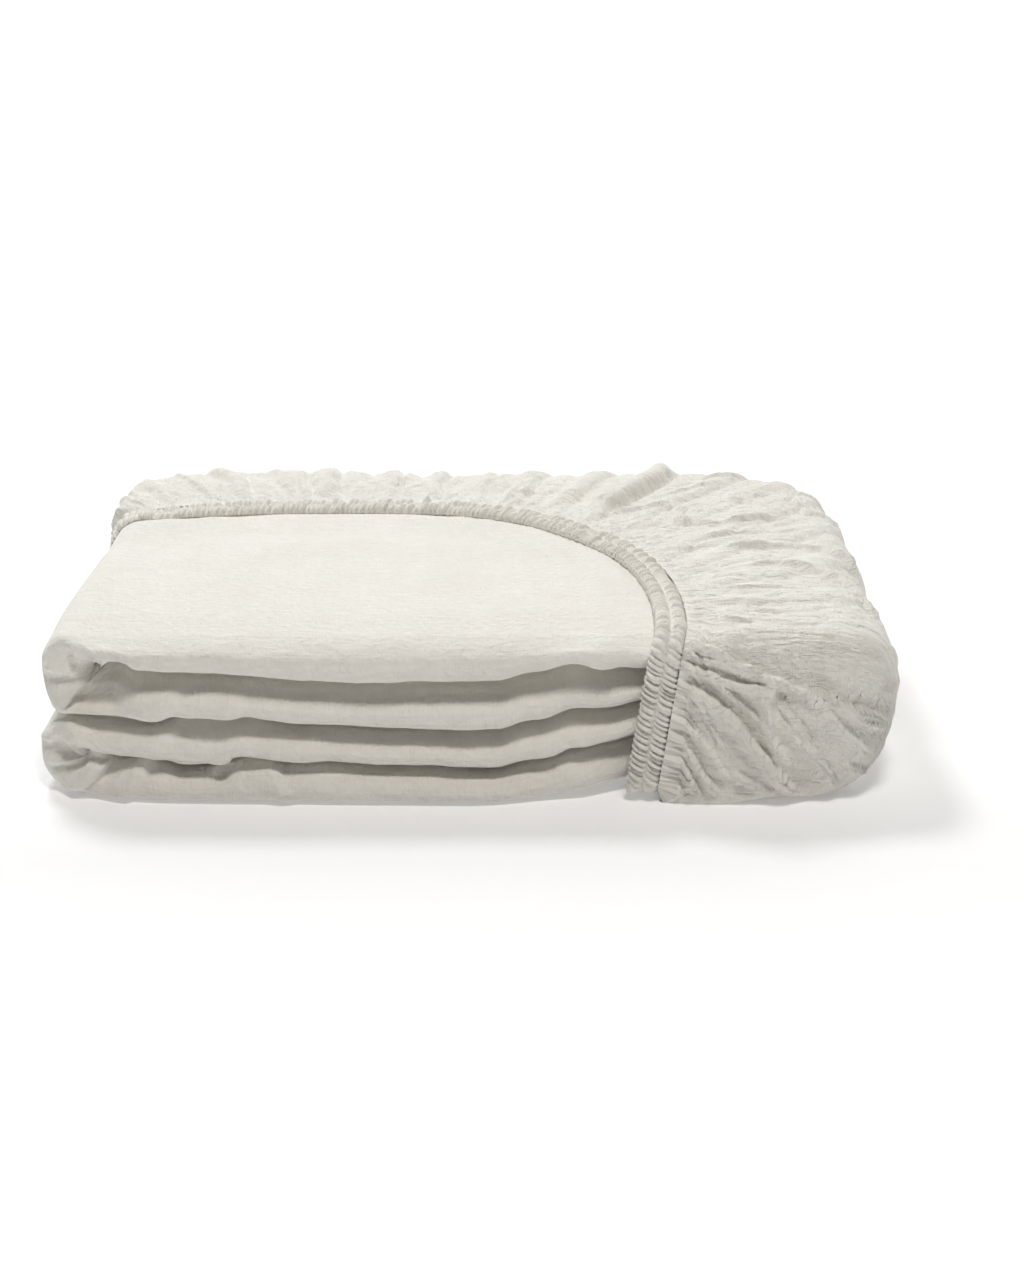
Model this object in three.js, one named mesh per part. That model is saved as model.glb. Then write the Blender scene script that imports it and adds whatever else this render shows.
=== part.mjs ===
// Folded fitted sheet, in millimetres, +Z up, resting on z = 0.
// A long strip of cloth is folded back and forth into four thick layers. The sheet's fitted corner,
// gathered by an elastic binding, is drawn over the back and the right-hand end of that stack.
// The front of the stack faces -Y, and the two open turns of the strip are on the left (-X).
import * as THREE from 'three';

// ---- driving dimensions -------------------------------------------------------------------------
const clothThickness = 2; // the gathered corner, two puffy gauze plies
const layerGap = 1.4; // air left between two layers of the strip
const clearance = 0.6; // between the stack and the cloth drawn over it
const seamGap = 0.4; // between the binding and the pieces it touches
const bindingWidth = 12.4;
const bindingThickness = 4.2;
const bindingFloorThickness = 2; // pressed flat under the stack
const stackTop = 63.4; // top of the stack where the corner covers it
const openSwell = 1.2; // how far the uncovered top stands above that
const coveredLift = clothThickness + clearance; // how far the cloth below lifts the stack
const skirtTop = stackTop + clearance + clothThickness;

// ---- small helpers ------------------------------------------------------------------------------
const { lerp, clamp } = THREE.MathUtils;
const range = (count) => Array.from({ length: count }, (_, i) => i);
const ease = (t) => THREE.MathUtils.smoothstep(t, 0, 1);
const bell = (t) => Math.exp(-t * t);

// How far out and how far up a squarish half round stands, from straight up (0) to straight down.
const superellipse = (angle, power) => [
  Math.abs(Math.sin(angle)) ** (2 / power),
  Math.sign(Math.cos(angle)) * Math.abs(Math.cos(angle)) ** (2 / power),
];

// Reads one named column of a table whose rows are sorted by x, easing from row to row.
function column(table, name, x) {
  const after = table.findIndex((row) => row.x >= x);
  if (after === 0) return table[0][name];
  if (after < 0) return table[table.length - 1][name];
  const [a, b] = [table[after - 1], table[after]];
  return lerp(a[name], b[name], ease((x - a.x) / (b.x - a.x)));
}

// A closed solid between two grids of points, outer[i][j] and inner[i][j].
function thickSheet(outer, inner) {
  const rows = outer.length;
  const cols = outer[0].length;
  const corners = [...outer.flat(), ...inner.flat()];
  const top = (i, j) => i * cols + j;
  const below = (i, j) => rows * cols + i * cols + j;
  const index = [];
  const quad = (a, b, c, d) => index.push(a, b, c, a, c, d);
  for (let i = 0; i < rows - 1; i++) {
    for (let j = 0; j < cols - 1; j++) {
      quad(top(i, j), top(i + 1, j), top(i + 1, j + 1), top(i, j + 1));
      quad(below(i, j), below(i, j + 1), below(i + 1, j + 1), below(i + 1, j));
    }
    quad(top(i, 0), below(i, 0), below(i + 1, 0), top(i + 1, 0));
    quad(top(i, cols - 1), top(i + 1, cols - 1), below(i + 1, cols - 1), below(i, cols - 1));
  }
  for (let j = 0; j < cols - 1; j++) {
    quad(top(0, j), top(0, j + 1), below(0, j + 1), below(0, j));
    quad(top(rows - 1, j), below(rows - 1, j), below(rows - 1, j + 1), top(rows - 1, j + 1));
  }
  const geometry = new THREE.BufferGeometry();
  geometry.setFromPoints(corners);
  geometry.setIndex(index);
  return geometry;
}

// A closed ring swept through rings[i][j], each ring a closed outline.
function ringSweep(rings) {
  const count = rings[0].length;
  const index = [];
  rings.forEach((_, i) => {
    const next = (i + 1) % rings.length;
    for (let j = 0; j < count; j++) {
      const k = (j + 1) % count;
      const [a, b, c, d] = [i * count + j, next * count + j, next * count + k, i * count + k];
      index.push(a, b, c, a, c, d);
    }
  });
  const geometry = new THREE.BufferGeometry();
  geometry.setFromPoints(rings.flat());
  geometry.setIndex(index);
  return geometry;
}

// ---- the gathered corner in plan ----------------------------------------------------------------
// Each rib runs from the gathered edge of the cloth (edge) out to the side of the stack (side),
// then down the side and back under the stack. Ribs go from the left side round to the front.
// roundness is how far in from the side the shoulder starts to curve, and crown how far it stands
// above the gathered edge.
const ribs = [
  { edgeX: -157.5, edgeY: 55, sideX: -163.8, sideY: 56, roundness: 6, crown: 0 },
  { edgeX: -146, edgeY: 58, sideX: -163.8, sideY: 80, roundness: 14, crown: 1.5 },
  { edgeX: -124, edgeY: 63, sideX: -155, sideY: 108, roundness: 15, crown: 1.8 },
  { edgeX: -104, edgeY: 66, sideX: -132, sideY: 116, roundness: 13, crown: 2 },
  { edgeX: -80, edgeY: 68, sideX: -92, sideY: 118, roundness: 12, crown: 2 },
  { edgeX: -35, edgeY: 68, sideX: -38, sideY: 118, roundness: 12, crown: 2 },
  { edgeX: 0, edgeY: 63, sideX: 10, sideY: 118.5, roundness: 12, crown: 1.8 },
  { edgeX: 30, edgeY: 48, sideX: 60, sideY: 118.5, roundness: 14, crown: 1.8 },
  { edgeX: 52, edgeY: 24, sideX: 112, sideY: 118, roundness: 17, crown: 2.2 },
  { edgeX: 66, edgeY: 3, sideX: 148, sideY: 103, roundness: 20, crown: 2.2 },
  { edgeX: 75, edgeY: -18, sideX: 159, sideY: 62, roundness: 20, crown: 2.4 },
  { edgeX: 80.4, edgeY: -42, sideX: 162, sideY: 12, roundness: 22, crown: 2 },
  { edgeX: 83, edgeY: -66, sideX: 163, sideY: -40, roundness: 26, crown: 1 },
  { edgeX: 83.3, edgeY: -84, sideX: 163.5, sideY: -82, roundness: 27, crown: 0 },
  { edgeX: 83, edgeY: -96, sideX: 159, sideY: -107, roundness: 26, crown: -1 },
  { edgeX: 82.6, edgeY: -103, sideX: 136, sideY: -117, roundness: 21, crown: -1.5 },
  { edgeX: 81.8, edgeY: -109, sideX: 102, sideY: -117, roundness: 10, crown: -1.5 },
  { edgeX: 80.8, edgeY: -111.5, sideX: 80.8, sideY: -115.5, roundness: 5, crown: -1 },
];
const lastRib = ribs.length - 1;
const frontLean = 9.6; // how far the gathered edge leans left as it comes down the front
const leanFrom = { rib: 11, ribs: 4 }; // the rib where that lean starts, and over how many it grows

// How far left of its place in plan a point of a rib stands, at a height.
const leanAt = (rib, height) =>
  frontLean * ease((rib - leanFrom.rib) / leanFrom.ribs) * (1 - height / skirtTop);

const planCurve = (x, y) =>
  new THREE.CatmullRomCurve3(ribs.map((rib) => new THREE.Vector3(rib[x], rib[y], 0)));
const edgeCurve = planCurve('edgeX', 'edgeY');
const sideCurve = planCurve('sideX', 'sideY');

// How far a plan point lies inside the mouth, the part of the stack that the corner leaves bare.
const edgeLine = edgeCurve.getPoints(60);
const leftMargin = -200;
const frontMargin = -200;
const mouth = [
  ...edgeLine,
  new THREE.Vector3(edgeLine[60].x, frontMargin, 0),
  new THREE.Vector3(leftMargin, frontMargin, 0),
  new THREE.Vector3(leftMargin, edgeLine[0].y, 0),
];
function insideMouth(x, y) {
  let crossings = 0;
  mouth.forEach((a, i) => {
    const b = mouth[(i + 1) % mouth.length];
    if (a.y > y !== b.y > y && x < a.x + ((b.x - a.x) * (y - a.y)) / (b.y - a.y)) crossings++;
  });
  const nearest = Math.min(...edgeLine.map((p) => Math.hypot(p.x - x, p.y - y)));
  return crossings % 2 ? nearest : -nearest;
}

// ---- the folded strip ---------------------------------------------------------------------------
// Heights at the front edge of the stack's underside, of the three gaps and of its top.
const frontHeights = [
  { x: -150, bottom: 0, gapCD: 19, gapBC: 31.5, gapAB: 50, top: 62.5 },
  { x: -134, bottom: 0, gapCD: 16, gapBC: 31, gapAB: 54.5, top: 63.5 },
  { x: -122, bottom: 0, gapCD: 16.5, gapBC: 30.5, gapAB: 51.5, top: 63.8 },
  { x: -108, bottom: 0, gapCD: 11.5, gapBC: 31, gapAB: 50.5, top: 64 },
  { x: -96, bottom: 0, gapCD: 11.5, gapBC: 31.3, gapAB: 50, top: 64.2 },
  { x: -85, bottom: 0, gapCD: 15.5, gapBC: 30.5, gapAB: 49.7, top: 64.3 },
  { x: -60, bottom: 0, gapCD: 14.3, gapBC: 27.8, gapAB: 47.8, top: 64.4 },
  { x: -27, bottom: 0, gapCD: 12.5, gapBC: 26, gapAB: 46.9, top: 64.6 },
  { x: 10, bottom: 0, gapCD: 10.8, gapBC: 26.3, gapAB: 47.3, top: 64.6 },
  { x: 24, bottom: 0.6, gapCD: 13.5, gapBC: 30, gapAB: 50.3, top: 64.4 },
  { x: 40, bottom: 2.4, gapCD: 17.5, gapBC: 33.2, gapAB: 54.2, top: 64 },
  { x: 52, bottom: 3.8, gapCD: 20, gapBC: 33.4, gapAB: 51.5, top: 63.4 },
  { x: 66, bottom: 5.4, gapCD: 23.5, gapBC: 36.5, gapAB: 50.5, top: 62.8 },
  { x: 95, bottom: 4, gapCD: 19, gapBC: 33, gapAB: 48, top: 62.4 },
];
const levelHeights = { gapCD: 16, gapBC: 31.5, gapAB: 47.6 };
const frontReach = 60; // how far in from the front those heights fade to the level ones
// How far the front edge of each layer stands, in Y.
const frontEdges = [
  { x: -150, A: -111, B: -109, C: -111, D: -111 },
  { x: -120, A: -114, B: -112, C: -112, D: -114.5 },
  { x: -60, A: -115, B: -113, C: -113, D: -116.5 },
  { x: 0, A: -115, B: -112.5, C: -113, D: -117 },
  { x: 40, A: -113.5, B: -109.5, C: -109.5, D: -111 },
  { x: 66, A: -109.4, B: -107, C: -106, D: -102.5 },
  { x: 95, A: -107.4, B: -106, C: -106, D: -103 },
];
const backEdge = 105;
const backLeft = { from: -122, length: 22, depth: 9 }; // how the back edge draws in at the left
const backCorner = { from: 56, length: 92, depth: 62 }; // the stack's round corner at the back right
// Where the turns begin, how far they stand out under the corner and how far more at the front.
const turns = {
  gapAB: { x: -144, reach: 14.5, more: 1.8, frontRecess: 6 },
  gapBC: { x: 128, reach: 15, more: 0, frontRecess: 30 },
  gapCD: { x: -144, reach: 14.5, more: 4.6, frontRecess: 7 },
};
const turnFade = { from: 24, length: 80 }; // where the turns start to stand out more, towards the front
const turnSquareness = 2.7;
const edgeRound = 7; // depth of the rounded front and back edges of a layer
const edgeSquareness = 2.6;
const flatMargin = 40; // the stack stays flat this far in from the gathered edge, past the binding
const backTaper = { from: 72, length: 34, share: 0.75 }; // the left turns draw in towards the back
const layers = {
  A: { over: null, under: 'gapAB' },
  B: { over: 'gapAB', under: 'gapBC' },
  C: { over: 'gapBC', under: 'gapCD' },
  D: { over: 'gapCD', under: null },
};

// Share of the front's own heights that holds at a distance y into the stack.
const frontShare = (y) => 1 - ease((y - frontEdges[3].A) / frontReach);

function gapHeight(name, x, y) {
  return lerp(levelHeights[name], column(frontHeights, name, x), frontShare(y));
}

function topHeight(x, y) {
  const open = stackTop + openSwell * ease((insideMouth(x, y) - flatMargin) / 20);
  return lerp(open, column(frontHeights, 'top', x), 0.8 * frontShare(y));
}

function floorHeight(x, y) {
  const covered = coveredLift * ease((flatMargin + 16 - insideMouth(x, y)) / 16);
  return Math.max(covered, column(frontHeights, 'bottom', x) * frontShare(y));
}

// Upper and lower face of a layer at a plan point.
function layerFaces(layer, x, y) {
  const { over, under } = layers[layer];
  return {
    upper: over ? gapHeight(over, x, y) - layerGap / 2 : topHeight(x, y),
    lower: under ? gapHeight(under, x, y) + layerGap / 2 : floorHeight(x, y),
  };
}

// The back edge, drawn in a little at the left and round the corner at the right.
function backY(x) {
  const along = clamp((x - backCorner.from) / backCorner.length, 0, 1);
  const drawnIn = backLeft.depth * ease((backLeft.from - x) / backLeft.length);
  return backEdge - drawnIn - backCorner.depth * (1 - Math.sqrt(1 - along ** 2));
}

// Stations along the strip, from the right end of the top layer A down to that of the bottom layer D.
const runXs = [-144, -134, -122, -108, -96, -85, -62, -45, -27, -8, 10, 24, 40, 52, 66, 88, 108];
const stripEnds = [
  { x: 116, fullness: 0.8 },
  { x: 120, fullness: 0.35 },
];
const turnSteps = 7;

function run(layer, leftwards, openEnd) {
  const made = runXs.map((x) => ({ layer, x, fullness: 1 }));
  if (openEnd) made.push(...stripEnds.map((end) => ({ layer, ...end })));
  else made.push({ layer, x: turns.gapBC.x, fullness: 1 });
  return leftwards ? made.reverse() : made;
}

function turn(upper, lower, gap) {
  return range(turnSteps - 1).map((i) => ({ upper, lower, gap, angle: (Math.PI * (i + 1)) / turnSteps }));
}

const stations = [
  ...run('A', true, true),
  ...turn('A', 'B', 'gapAB'),
  ...run('B', false, false),
  ...turn('B', 'C', 'gapBC'),
  ...run('C', true, false),
  ...turn('C', 'D', 'gapCD'),
  ...run('D', false, true),
];

// Rings across the strip: depth in from the front or back edge, how full the strip is there, and the
// share of the way from front to back.
const edgeRings = [0.3, 1.2, 3, edgeRound].map((depth) => ({
  depth,
  fullness: (1 - (1 - depth / edgeRound) ** edgeSquareness) ** (1 / edgeSquareness),
}));
const rings = [
  ...edgeRings.map((ring) => ({ ...ring, share: 0 })),
  ...[0.12, 0.3, 0.5, 0.68, 0.85].map((share) => ({ depth: edgeRound, fullness: 1, share })),
  ...edgeRings.map((ring) => ({ ...ring, share: 1 })).reverse(),
];

function ringY(ring, front, back) {
  const frontDepth = ring.share === 0 ? ring.depth : edgeRound;
  const backDepth = ring.share === 1 ? ring.depth : edgeRound;
  return lerp(front + frontDepth, back - backDepth, ring.share);
}

// A run's two faces. Layers A and C run leftwards, so the strip's first face is on top there.
function runPoints({ layer, x }, ring) {
  const y = ringY(ring, column(frontEdges, layer, x), backY(x));
  const { upper, lower } = layerFaces(layer, x, y);
  const faces = [upper, lower].map((z) => new THREE.Vector3(x, y, z));
  return layer === 'A' || layer === 'C' ? faces : faces.reverse();
}

// The outside of a turn is a full, squarish curve, and its inside closes the gap between two layers.
function turnPoints({ upper, lower, gap, angle }, ring) {
  const { x, reach, more, frontRecess } = turns[gap];
  const outwards = Math.sign(x);
  const [out, up] = superellipse(angle, turnSquareness);
  const front = (column(frontEdges, upper, x) + column(frontEdges, lower, x)) / 2 + frontRecess * out;
  const y = ringY(ring, front, backY(x + outwards * reach * out));
  const taper = 1 - backTaper.share * ease((y - backTaper.from) / backTaper.length);
  const extent = reach * taper + more * ease((turnFade.from - y) / turnFade.length);
  const high = layerFaces(upper, x, y).upper;
  const low = layerFaces(lower, x, y).lower;
  const outside = new THREE.Vector3(
    x + outwards * extent * out,
    y,
    (high + low) / 2 + (up * (high - low)) / 2,
  );
  const inside = new THREE.Vector3(
    x + outwards * layerGap * Math.sin(angle),
    y,
    gapHeight(gap, x, y) + (Math.cos(angle) * layerGap) / 2,
  );
  return outwards < 0 ? [outside, inside] : [inside, outside];
}

// The two faces close on each other at the strip's rounded edges and ends.
function stripPair(station, ring) {
  const [a, b] = station.layer ? runPoints(station, ring) : turnPoints(station, ring);
  const centre = a.clone().lerp(b, 0.5);
  const fullness = ring.fullness * (station.fullness ?? 1);
  return [centre.clone().lerp(a, fullness), centre.clone().lerp(b, fullness)];
}

function foldedPanel() {
  const pairs = stations.map((station) => rings.map((ring) => stripPair(station, ring)));
  const face = (which) => pairs.map((row) => row.map((pair) => pair[which]));
  return thickSheet(face(1), face(0));
}

// ---- the gathered corner ------------------------------------------------------------------------
// Main gathers: at is a rib number, rise how far the fold stands out, width its half width in ribs,
// reach how far it runs from the gathered edge, as a share of the way down to the floor.
const gathers = [
  { at: 0.9, rise: 1.6, width: 0.22, reach: 0.5 },
  { at: 1.7, rise: 2.2, width: 0.2, reach: 0.45 },
  { at: 2.5, rise: 2.6, width: 0.2, reach: 0.5 },
  { at: 3.2, rise: 3.4, width: 0.22, reach: 0.55 },
  { at: 3.9, rise: 2.4, width: 0.16, reach: 0.4 },
  { at: 4.35, rise: 4.4, width: 0.24, reach: 0.6 },
  { at: 4.95, rise: 2.6, width: 0.2, reach: 0.45 },
  { at: 5.4, rise: 3.6, width: 0.18, reach: 0.5 },
  { at: 5.95, rise: 2.4, width: 0.18, reach: 0.4 },
  { at: 6.4, rise: 3.8, width: 0.2, reach: 0.55 },
  { at: 7.05, rise: 3, width: 0.22, reach: 0.5 },
  { at: 7.6, rise: 5, width: 0.2, reach: 0.6 },
  { at: 8.3, rise: 3, width: 0.24, reach: 0.55 },
  { at: 9, rise: 2.4, width: 0.26, reach: 0.6 },
  { at: 9.8, rise: 3.2, width: 0.26, reach: 0.65 },
  { at: 10.6, rise: 2.6, width: 0.26, reach: 0.6 },
  { at: 11.5, rise: 3.2, width: 0.24, reach: 0.7 },
  { at: 12.4, rise: 2.6, width: 0.26, reach: 0.6 },
  { at: 13.3, rise: 2, width: 0.24, reach: 0.5 },
];
// Long folds across the front of the corner, from the binding to the right-hand side.
const frontFolds = [
  { fromX: 84, fromZ: 57, toX: 158, toZ: 36, rise: 4, width: 5 },
  { fromX: 83, fromZ: 47, toX: 134, toZ: 10, rise: 3.6, width: 5.5 },
  { fromX: 80, fromZ: 30, toX: 104, toZ: 4, rise: 3, width: 5 },
  { fromX: 118, fromZ: 46, toX: 128, toZ: 16, rise: 3, width: 5.5 },
];
const frontFrom = -60; // the front folds fade in from here towards the front
const foldEnd = 0.3; // the share of their length over which they die away
const bulgeHeight = 37; // where the corner stands out furthest
const upperSquareness = 3;
const lowerSquareness = 3.2;

// Steps down a rib: across the top, round the shoulder and down the side, and in under the stack.
const topSteps = [0, 0.18, 0.42, 0.7];
const sideAngles = range(13).map((i) => (Math.PI * i) / 12);
const floorSteps = [0.5, 1];
const ribSteps = topSteps.length + sideAngles.length + floorSteps.length;
const ribDivisions = 86;

function gatherRise(rib, share, point) {
  let rise = 0;
  for (const fold of gathers) {
    const across = bell((rib - fold.at) / fold.width);
    rise += fold.rise * across * ease(share / 0.12) * (1 - ease((share - 0.35 * fold.reach) / fold.reach));
  }
  if (point.y > frontFrom) return rise;
  for (const fold of frontFolds) {
    const start = new THREE.Vector3(fold.fromX, fold.fromZ, 0);
    const line = new THREE.Line3(start, new THREE.Vector3(fold.toX, fold.toZ, 0));
    const here = new THREE.Vector3(point.x, point.z, 0);
    const along = line.closestPointToPointParameter(here, true);
    const away = line.at(along, new THREE.Vector3()).distanceTo(here);
    const fade = ease((1 - along) / foldEnd) * ease((frontFrom - point.y) / 40);
    rise += fold.rise * bell(away / fold.width) * fade;
  }
  return rise;
}

// A point of the corner's smooth outer face, at a rib number and a step down that rib.
function cornerPoint(rib, step) {
  const edge = edgeCurve.getPoint(rib / lastRib);
  const side = sideCurve.getPoint(rib / lastRib);
  const length = edge.distanceTo(side);
  const row = clamp(Math.floor(rib), 0, lastRib - 1);
  const round = lerp(ribs[row].roundness, ribs[row + 1].roundness, rib - row);
  const top = skirtTop + lerp(ribs[row].crown, ribs[row + 1].crown, rib - row);
  const shoulder = length - Math.min(round, 0.9 * length);
  let along;
  let height;
  if (step < topSteps.length) {
    const share = topSteps[step];
    along = share * shoulder;
    height = lerp(skirtTop, top, ease(share * 1.5));
  } else if (step < topSteps.length + sideAngles.length) {
    const angle = sideAngles[step - topSteps.length];
    const upper = angle < Math.PI / 2;
    const [out, up] = superellipse(angle, upper ? upperSquareness : lowerSquareness);
    along = lerp(shoulder, length, out);
    height = bulgeHeight + up * (upper ? top - bulgeHeight : bulgeHeight);
  } else {
    along = shoulder * (1 - floorSteps[step - topSteps.length - sideAngles.length]);
    height = 0;
  }
  const point = edge.clone().lerp(side, along / length);
  return new THREE.Vector3(point.x - leanAt(rib, height), point.y, height);
}

function gatheredCorner() {
  const counts = range(ribDivisions + 1).map((i) => (lastRib * i) / ribDivisions);
  const base = counts.map((rib) => range(ribSteps).map((step) => cornerPoint(rib, step)));
  const at = (i, j) => base[clamp(i, 0, ribDivisions)][clamp(j, 0, ribSteps - 1)];
  const outer = [];
  const inner = [];
  base.forEach((row, i) => {
    const faces = row.map((point, j) => {
      const across = at(i + 1, j).clone().sub(at(i - 1, j));
      const down = at(i, j + 1).clone().sub(at(i, j - 1));
      const normal = across.cross(down).normalize();
      const onFloor = point.z < 0.01;
      if (onFloor) normal.set(0, 0, -1);
      const rise = onFloor ? 0 : gatherRise(counts[i], j / (ribSteps - 1), point) * ease(point.z / 12);
      return [
        point.clone().addScaledVector(normal, rise),
        point.clone().addScaledVector(normal, rise - clothThickness),
      ];
    });
    outer.push(faces.map((pair) => pair[0]));
    inner.push(faces.map((pair) => pair[1]));
  });
  return thickSheet(outer, inner);
}

// ---- the elastic binding ------------------------------------------------------------------------
// Two padded channels with a stitched valley between them: share of half the width, share of height.
const bindingSection = [
  { side: -1, height: 0 },
  { side: 1, height: 0 },
  { side: 1, height: 0.45 },
  { side: 0.72, height: 0.95 },
  { side: 0.3, height: 0.95 },
  { side: 0, height: 0.6 },
  { side: -0.3, height: 0.95 },
  { side: -0.72, height: 0.95 },
  { side: -1, height: 0.45 },
];
const bindingSteps = { flat: 34, bend: 6, down: 4 };
const bindingEnds = { left: 1.1, front: 15 }; // the ribs where it goes over the edges of the stack
const frontBend = { y: -103, radius: 8.6, lean: 2 };
const leftBend = { reach: turns.gapAB.reach + 3 * seamGap, lift: seamGap, drift: 3.4 };
const bindingTop = stackTop + seamGap;
const bindingFloor = coveredLift - seamGap;

// The middle of the binding in plan beside a rib's gathered edge, on top of the stack or under it.
function bindingPlan(rib, height) {
  const place = (r) => {
    const p = edgeCurve.getPoint(clamp(r, 0, lastRib) / lastRib);
    return new THREE.Vector2(p.x - leanAt(r, height), p.y);
  };
  const forwards = place(rib + 0.1).sub(place(rib - 0.1)).normalize();
  const inwards = new THREE.Vector2(forwards.y, -forwards.x);
  return place(rib).addScaledVector(inwards, bindingWidth / 2 + 3 * seamGap);
}

// The binding's flat stretch on top of the stack or under it, from the left end to the front.
function flatFrames(height, up) {
  return range(bindingSteps.flat + 1).map((i) => {
    const rib = lerp(bindingEnds.left, bindingEnds.front, i / bindingSteps.flat);
    const plan = bindingPlan(rib, height);
    return { at: new THREE.Vector3(plan.x, plan.y, height), out: new THREE.Vector3(0, 0, up) };
  });
}

// Steps over an edge of the stack: share is 0 in the upper bend, 1 in the lower one.
const bendAngles = range(bindingSteps.bend).map((i) => (Math.PI * (i + 1)) / (2 * bindingSteps.bend));
const overSteps = [
  ...bendAngles.map((angle) => ({ angle, share: 0 })),
  ...range(bindingSteps.down - 1).map((i) => ({ angle: Math.PI / 2, share: (i + 1) / bindingSteps.down })),
  ...bendAngles.map((angle) => ({ angle: Math.PI - angle, share: 1 })).reverse(),
];

// The place between the ends of the two flat stretches, at a height.
const between = (top, bottom, height) =>
  bottom.at.clone().lerp(top.at, (height - bindingFloor) / (bindingTop - bindingFloor));

function frontFrame({ angle, share }, top, bottom) {
  const { y, radius, lean } = frontBend;
  const height = lerp(bindingTop - radius, bindingFloor + radius, share) + radius * Math.cos(angle);
  const place = between(top, bottom, height);
  return {
    at: new THREE.Vector3(place.x - lean * Math.sin(angle), y - radius * Math.sin(angle), height),
    out: new THREE.Vector3(0, -Math.sin(angle), Math.cos(angle)),
  };
}

// Down the left side the binding follows the two turns of the strip.
function leftFrame({ angle, share }, top, bottom) {
  const [out, up] = superellipse(angle, turnSquareness);
  const upperMiddle = (stackTop + levelHeights.gapBC) / 2;
  const lowerMiddle = (levelHeights.gapBC + coveredLift) / 2;
  const half = leftBend.lift + (share < 1 ? bindingTop - upperMiddle : lowerMiddle - bindingFloor);
  const height = lerp(upperMiddle, lowerMiddle, share) + up * half;
  const place = between(top, bottom, height);
  return {
    at: new THREE.Vector3(turns.gapAB.x - leftBend.reach * out, place.y - leftBend.drift * out, height),
    out: new THREE.Vector3(-Math.sin(angle), 0, Math.cos(angle)),
  };
}

function bindingFrames() {
  const top = flatFrames(bindingTop, 1);
  const bottom = flatFrames(bindingFloor, -1);
  const front = overSteps.map((step) => frontFrame(step, top[top.length - 1], bottom[bottom.length - 1]));
  const left = overSteps.map((step) => leftFrame(step, top[0], bottom[0]));
  return [...top, ...front, ...bottom.reverse(), ...left.reverse()];
}

function elasticBinding() {
  const frames = bindingFrames();
  const count = frames.length;
  const rings = frames.map(({ at, out }, i) => {
    const forwards = frames[(i + 1) % count].at.clone().sub(frames[(i + count - 1) % count].at).normalize();
    const across = forwards.clone().cross(out).normalize();
    const down = clamp((1 - out.z) / 2, 0, 1);
    const thickness = lerp(bindingThickness, bindingFloorThickness, ease(2 * down - 1));
    return bindingSection.map(({ side, height }) =>
      at
        .clone()
        .addScaledVector(across, (side * bindingWidth) / 2)
        .addScaledVector(out, height * thickness),
    );
  });
  return ringSweep(rings);
}

// ---- the sheet ----------------------------------------------------------------------------------
const muslin = new THREE.MeshStandardMaterial({ color: 0xf0eee9, roughness: 0.92, metalness: 0 });
const gatheredMuslin = new THREE.MeshStandardMaterial({ color: 0xeeebe4, roughness: 0.94, metalness: 0 });
const bindingCloth = new THREE.MeshStandardMaterial({ color: 0xebe8e0, roughness: 0.9, metalness: 0 });

function piece(name, geometry, material) {
  const mesh = new THREE.Mesh(geometry, material);
  mesh.name = name;
  return mesh;
}

const foldedFittedSheet = new THREE.Group();
foldedFittedSheet.add(
  piece('folded_panel', foldedPanel(), muslin),
  piece('gathered_corner', gatheredCorner(), gatheredMuslin),
  piece('elastic_binding', elasticBinding(), bindingCloth),
);

export default foldedFittedSheet;
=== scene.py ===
# Folded fitted sheet in crinkled muslin: cloth, gathers, elastic binding, stitches and light.
# Sizes in the tables are in millimetres and become metres when a mesh is made.
import math
import bpy
import numpy as np
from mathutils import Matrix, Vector


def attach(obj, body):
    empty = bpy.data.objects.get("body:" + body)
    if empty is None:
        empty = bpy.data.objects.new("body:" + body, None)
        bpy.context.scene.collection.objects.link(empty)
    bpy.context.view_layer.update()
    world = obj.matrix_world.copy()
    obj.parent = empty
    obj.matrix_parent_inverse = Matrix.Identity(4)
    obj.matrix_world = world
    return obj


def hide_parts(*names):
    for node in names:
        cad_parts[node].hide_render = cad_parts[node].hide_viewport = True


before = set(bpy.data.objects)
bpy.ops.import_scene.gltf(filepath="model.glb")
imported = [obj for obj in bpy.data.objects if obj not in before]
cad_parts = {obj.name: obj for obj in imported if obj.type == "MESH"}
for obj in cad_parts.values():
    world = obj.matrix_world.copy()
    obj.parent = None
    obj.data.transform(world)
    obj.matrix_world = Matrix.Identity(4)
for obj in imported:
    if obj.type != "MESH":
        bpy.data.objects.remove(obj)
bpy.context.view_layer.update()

scene = bpy.context.scene
mm = 0.001

print("stage: helpers")


def ease(t):
    t = np.clip(t, 0.0, 1.0)
    return t * t * (3 - 2 * t)


def bell(t):
    return np.exp(-t * t)


def lattice(ix, iy, seed):
    h = np.sin(ix * 127.1 + iy * 311.7 + seed * 74.7) * 43758.5453
    return (h - np.floor(h)) * 2 - 1


def softNoise(x, y, seed=0):
    # smooth values from -1 to 1 on a plane
    x, y = np.broadcast_arrays(np.asarray(x, float), np.asarray(y, float))
    ix, iy = np.floor(x), np.floor(y)
    fx, fy = x - ix, y - iy
    ux = fx * fx * fx * (fx * (fx * 6 - 15) + 10)
    uy = fy * fy * fy * (fy * (fy * 6 - 15) + 10)
    a = lattice(ix, iy, seed)
    b = lattice(ix + 1, iy, seed)
    c = lattice(ix, iy + 1, seed)
    d = lattice(ix + 1, iy + 1, seed)
    return (a + (b - a) * ux) * (1 - uy) + (c + (d - c) * ux) * uy


def layeredNoise(x, y, seed=0, octaves=3):
    total = 0
    size = 0
    for k in range(octaves):
        total = total + softNoise(x * 2 ** k + 13.7 * k, y * 2 ** k - 7.1 * k, seed + k) / 2 ** k
        size += 1 / 2 ** k
    return total / size


def table(names, rows):
    # rows of values become dictionaries; a short row leaves out its last names
    return [dict(zip(names.split(), row)) for row in rows]


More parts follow.
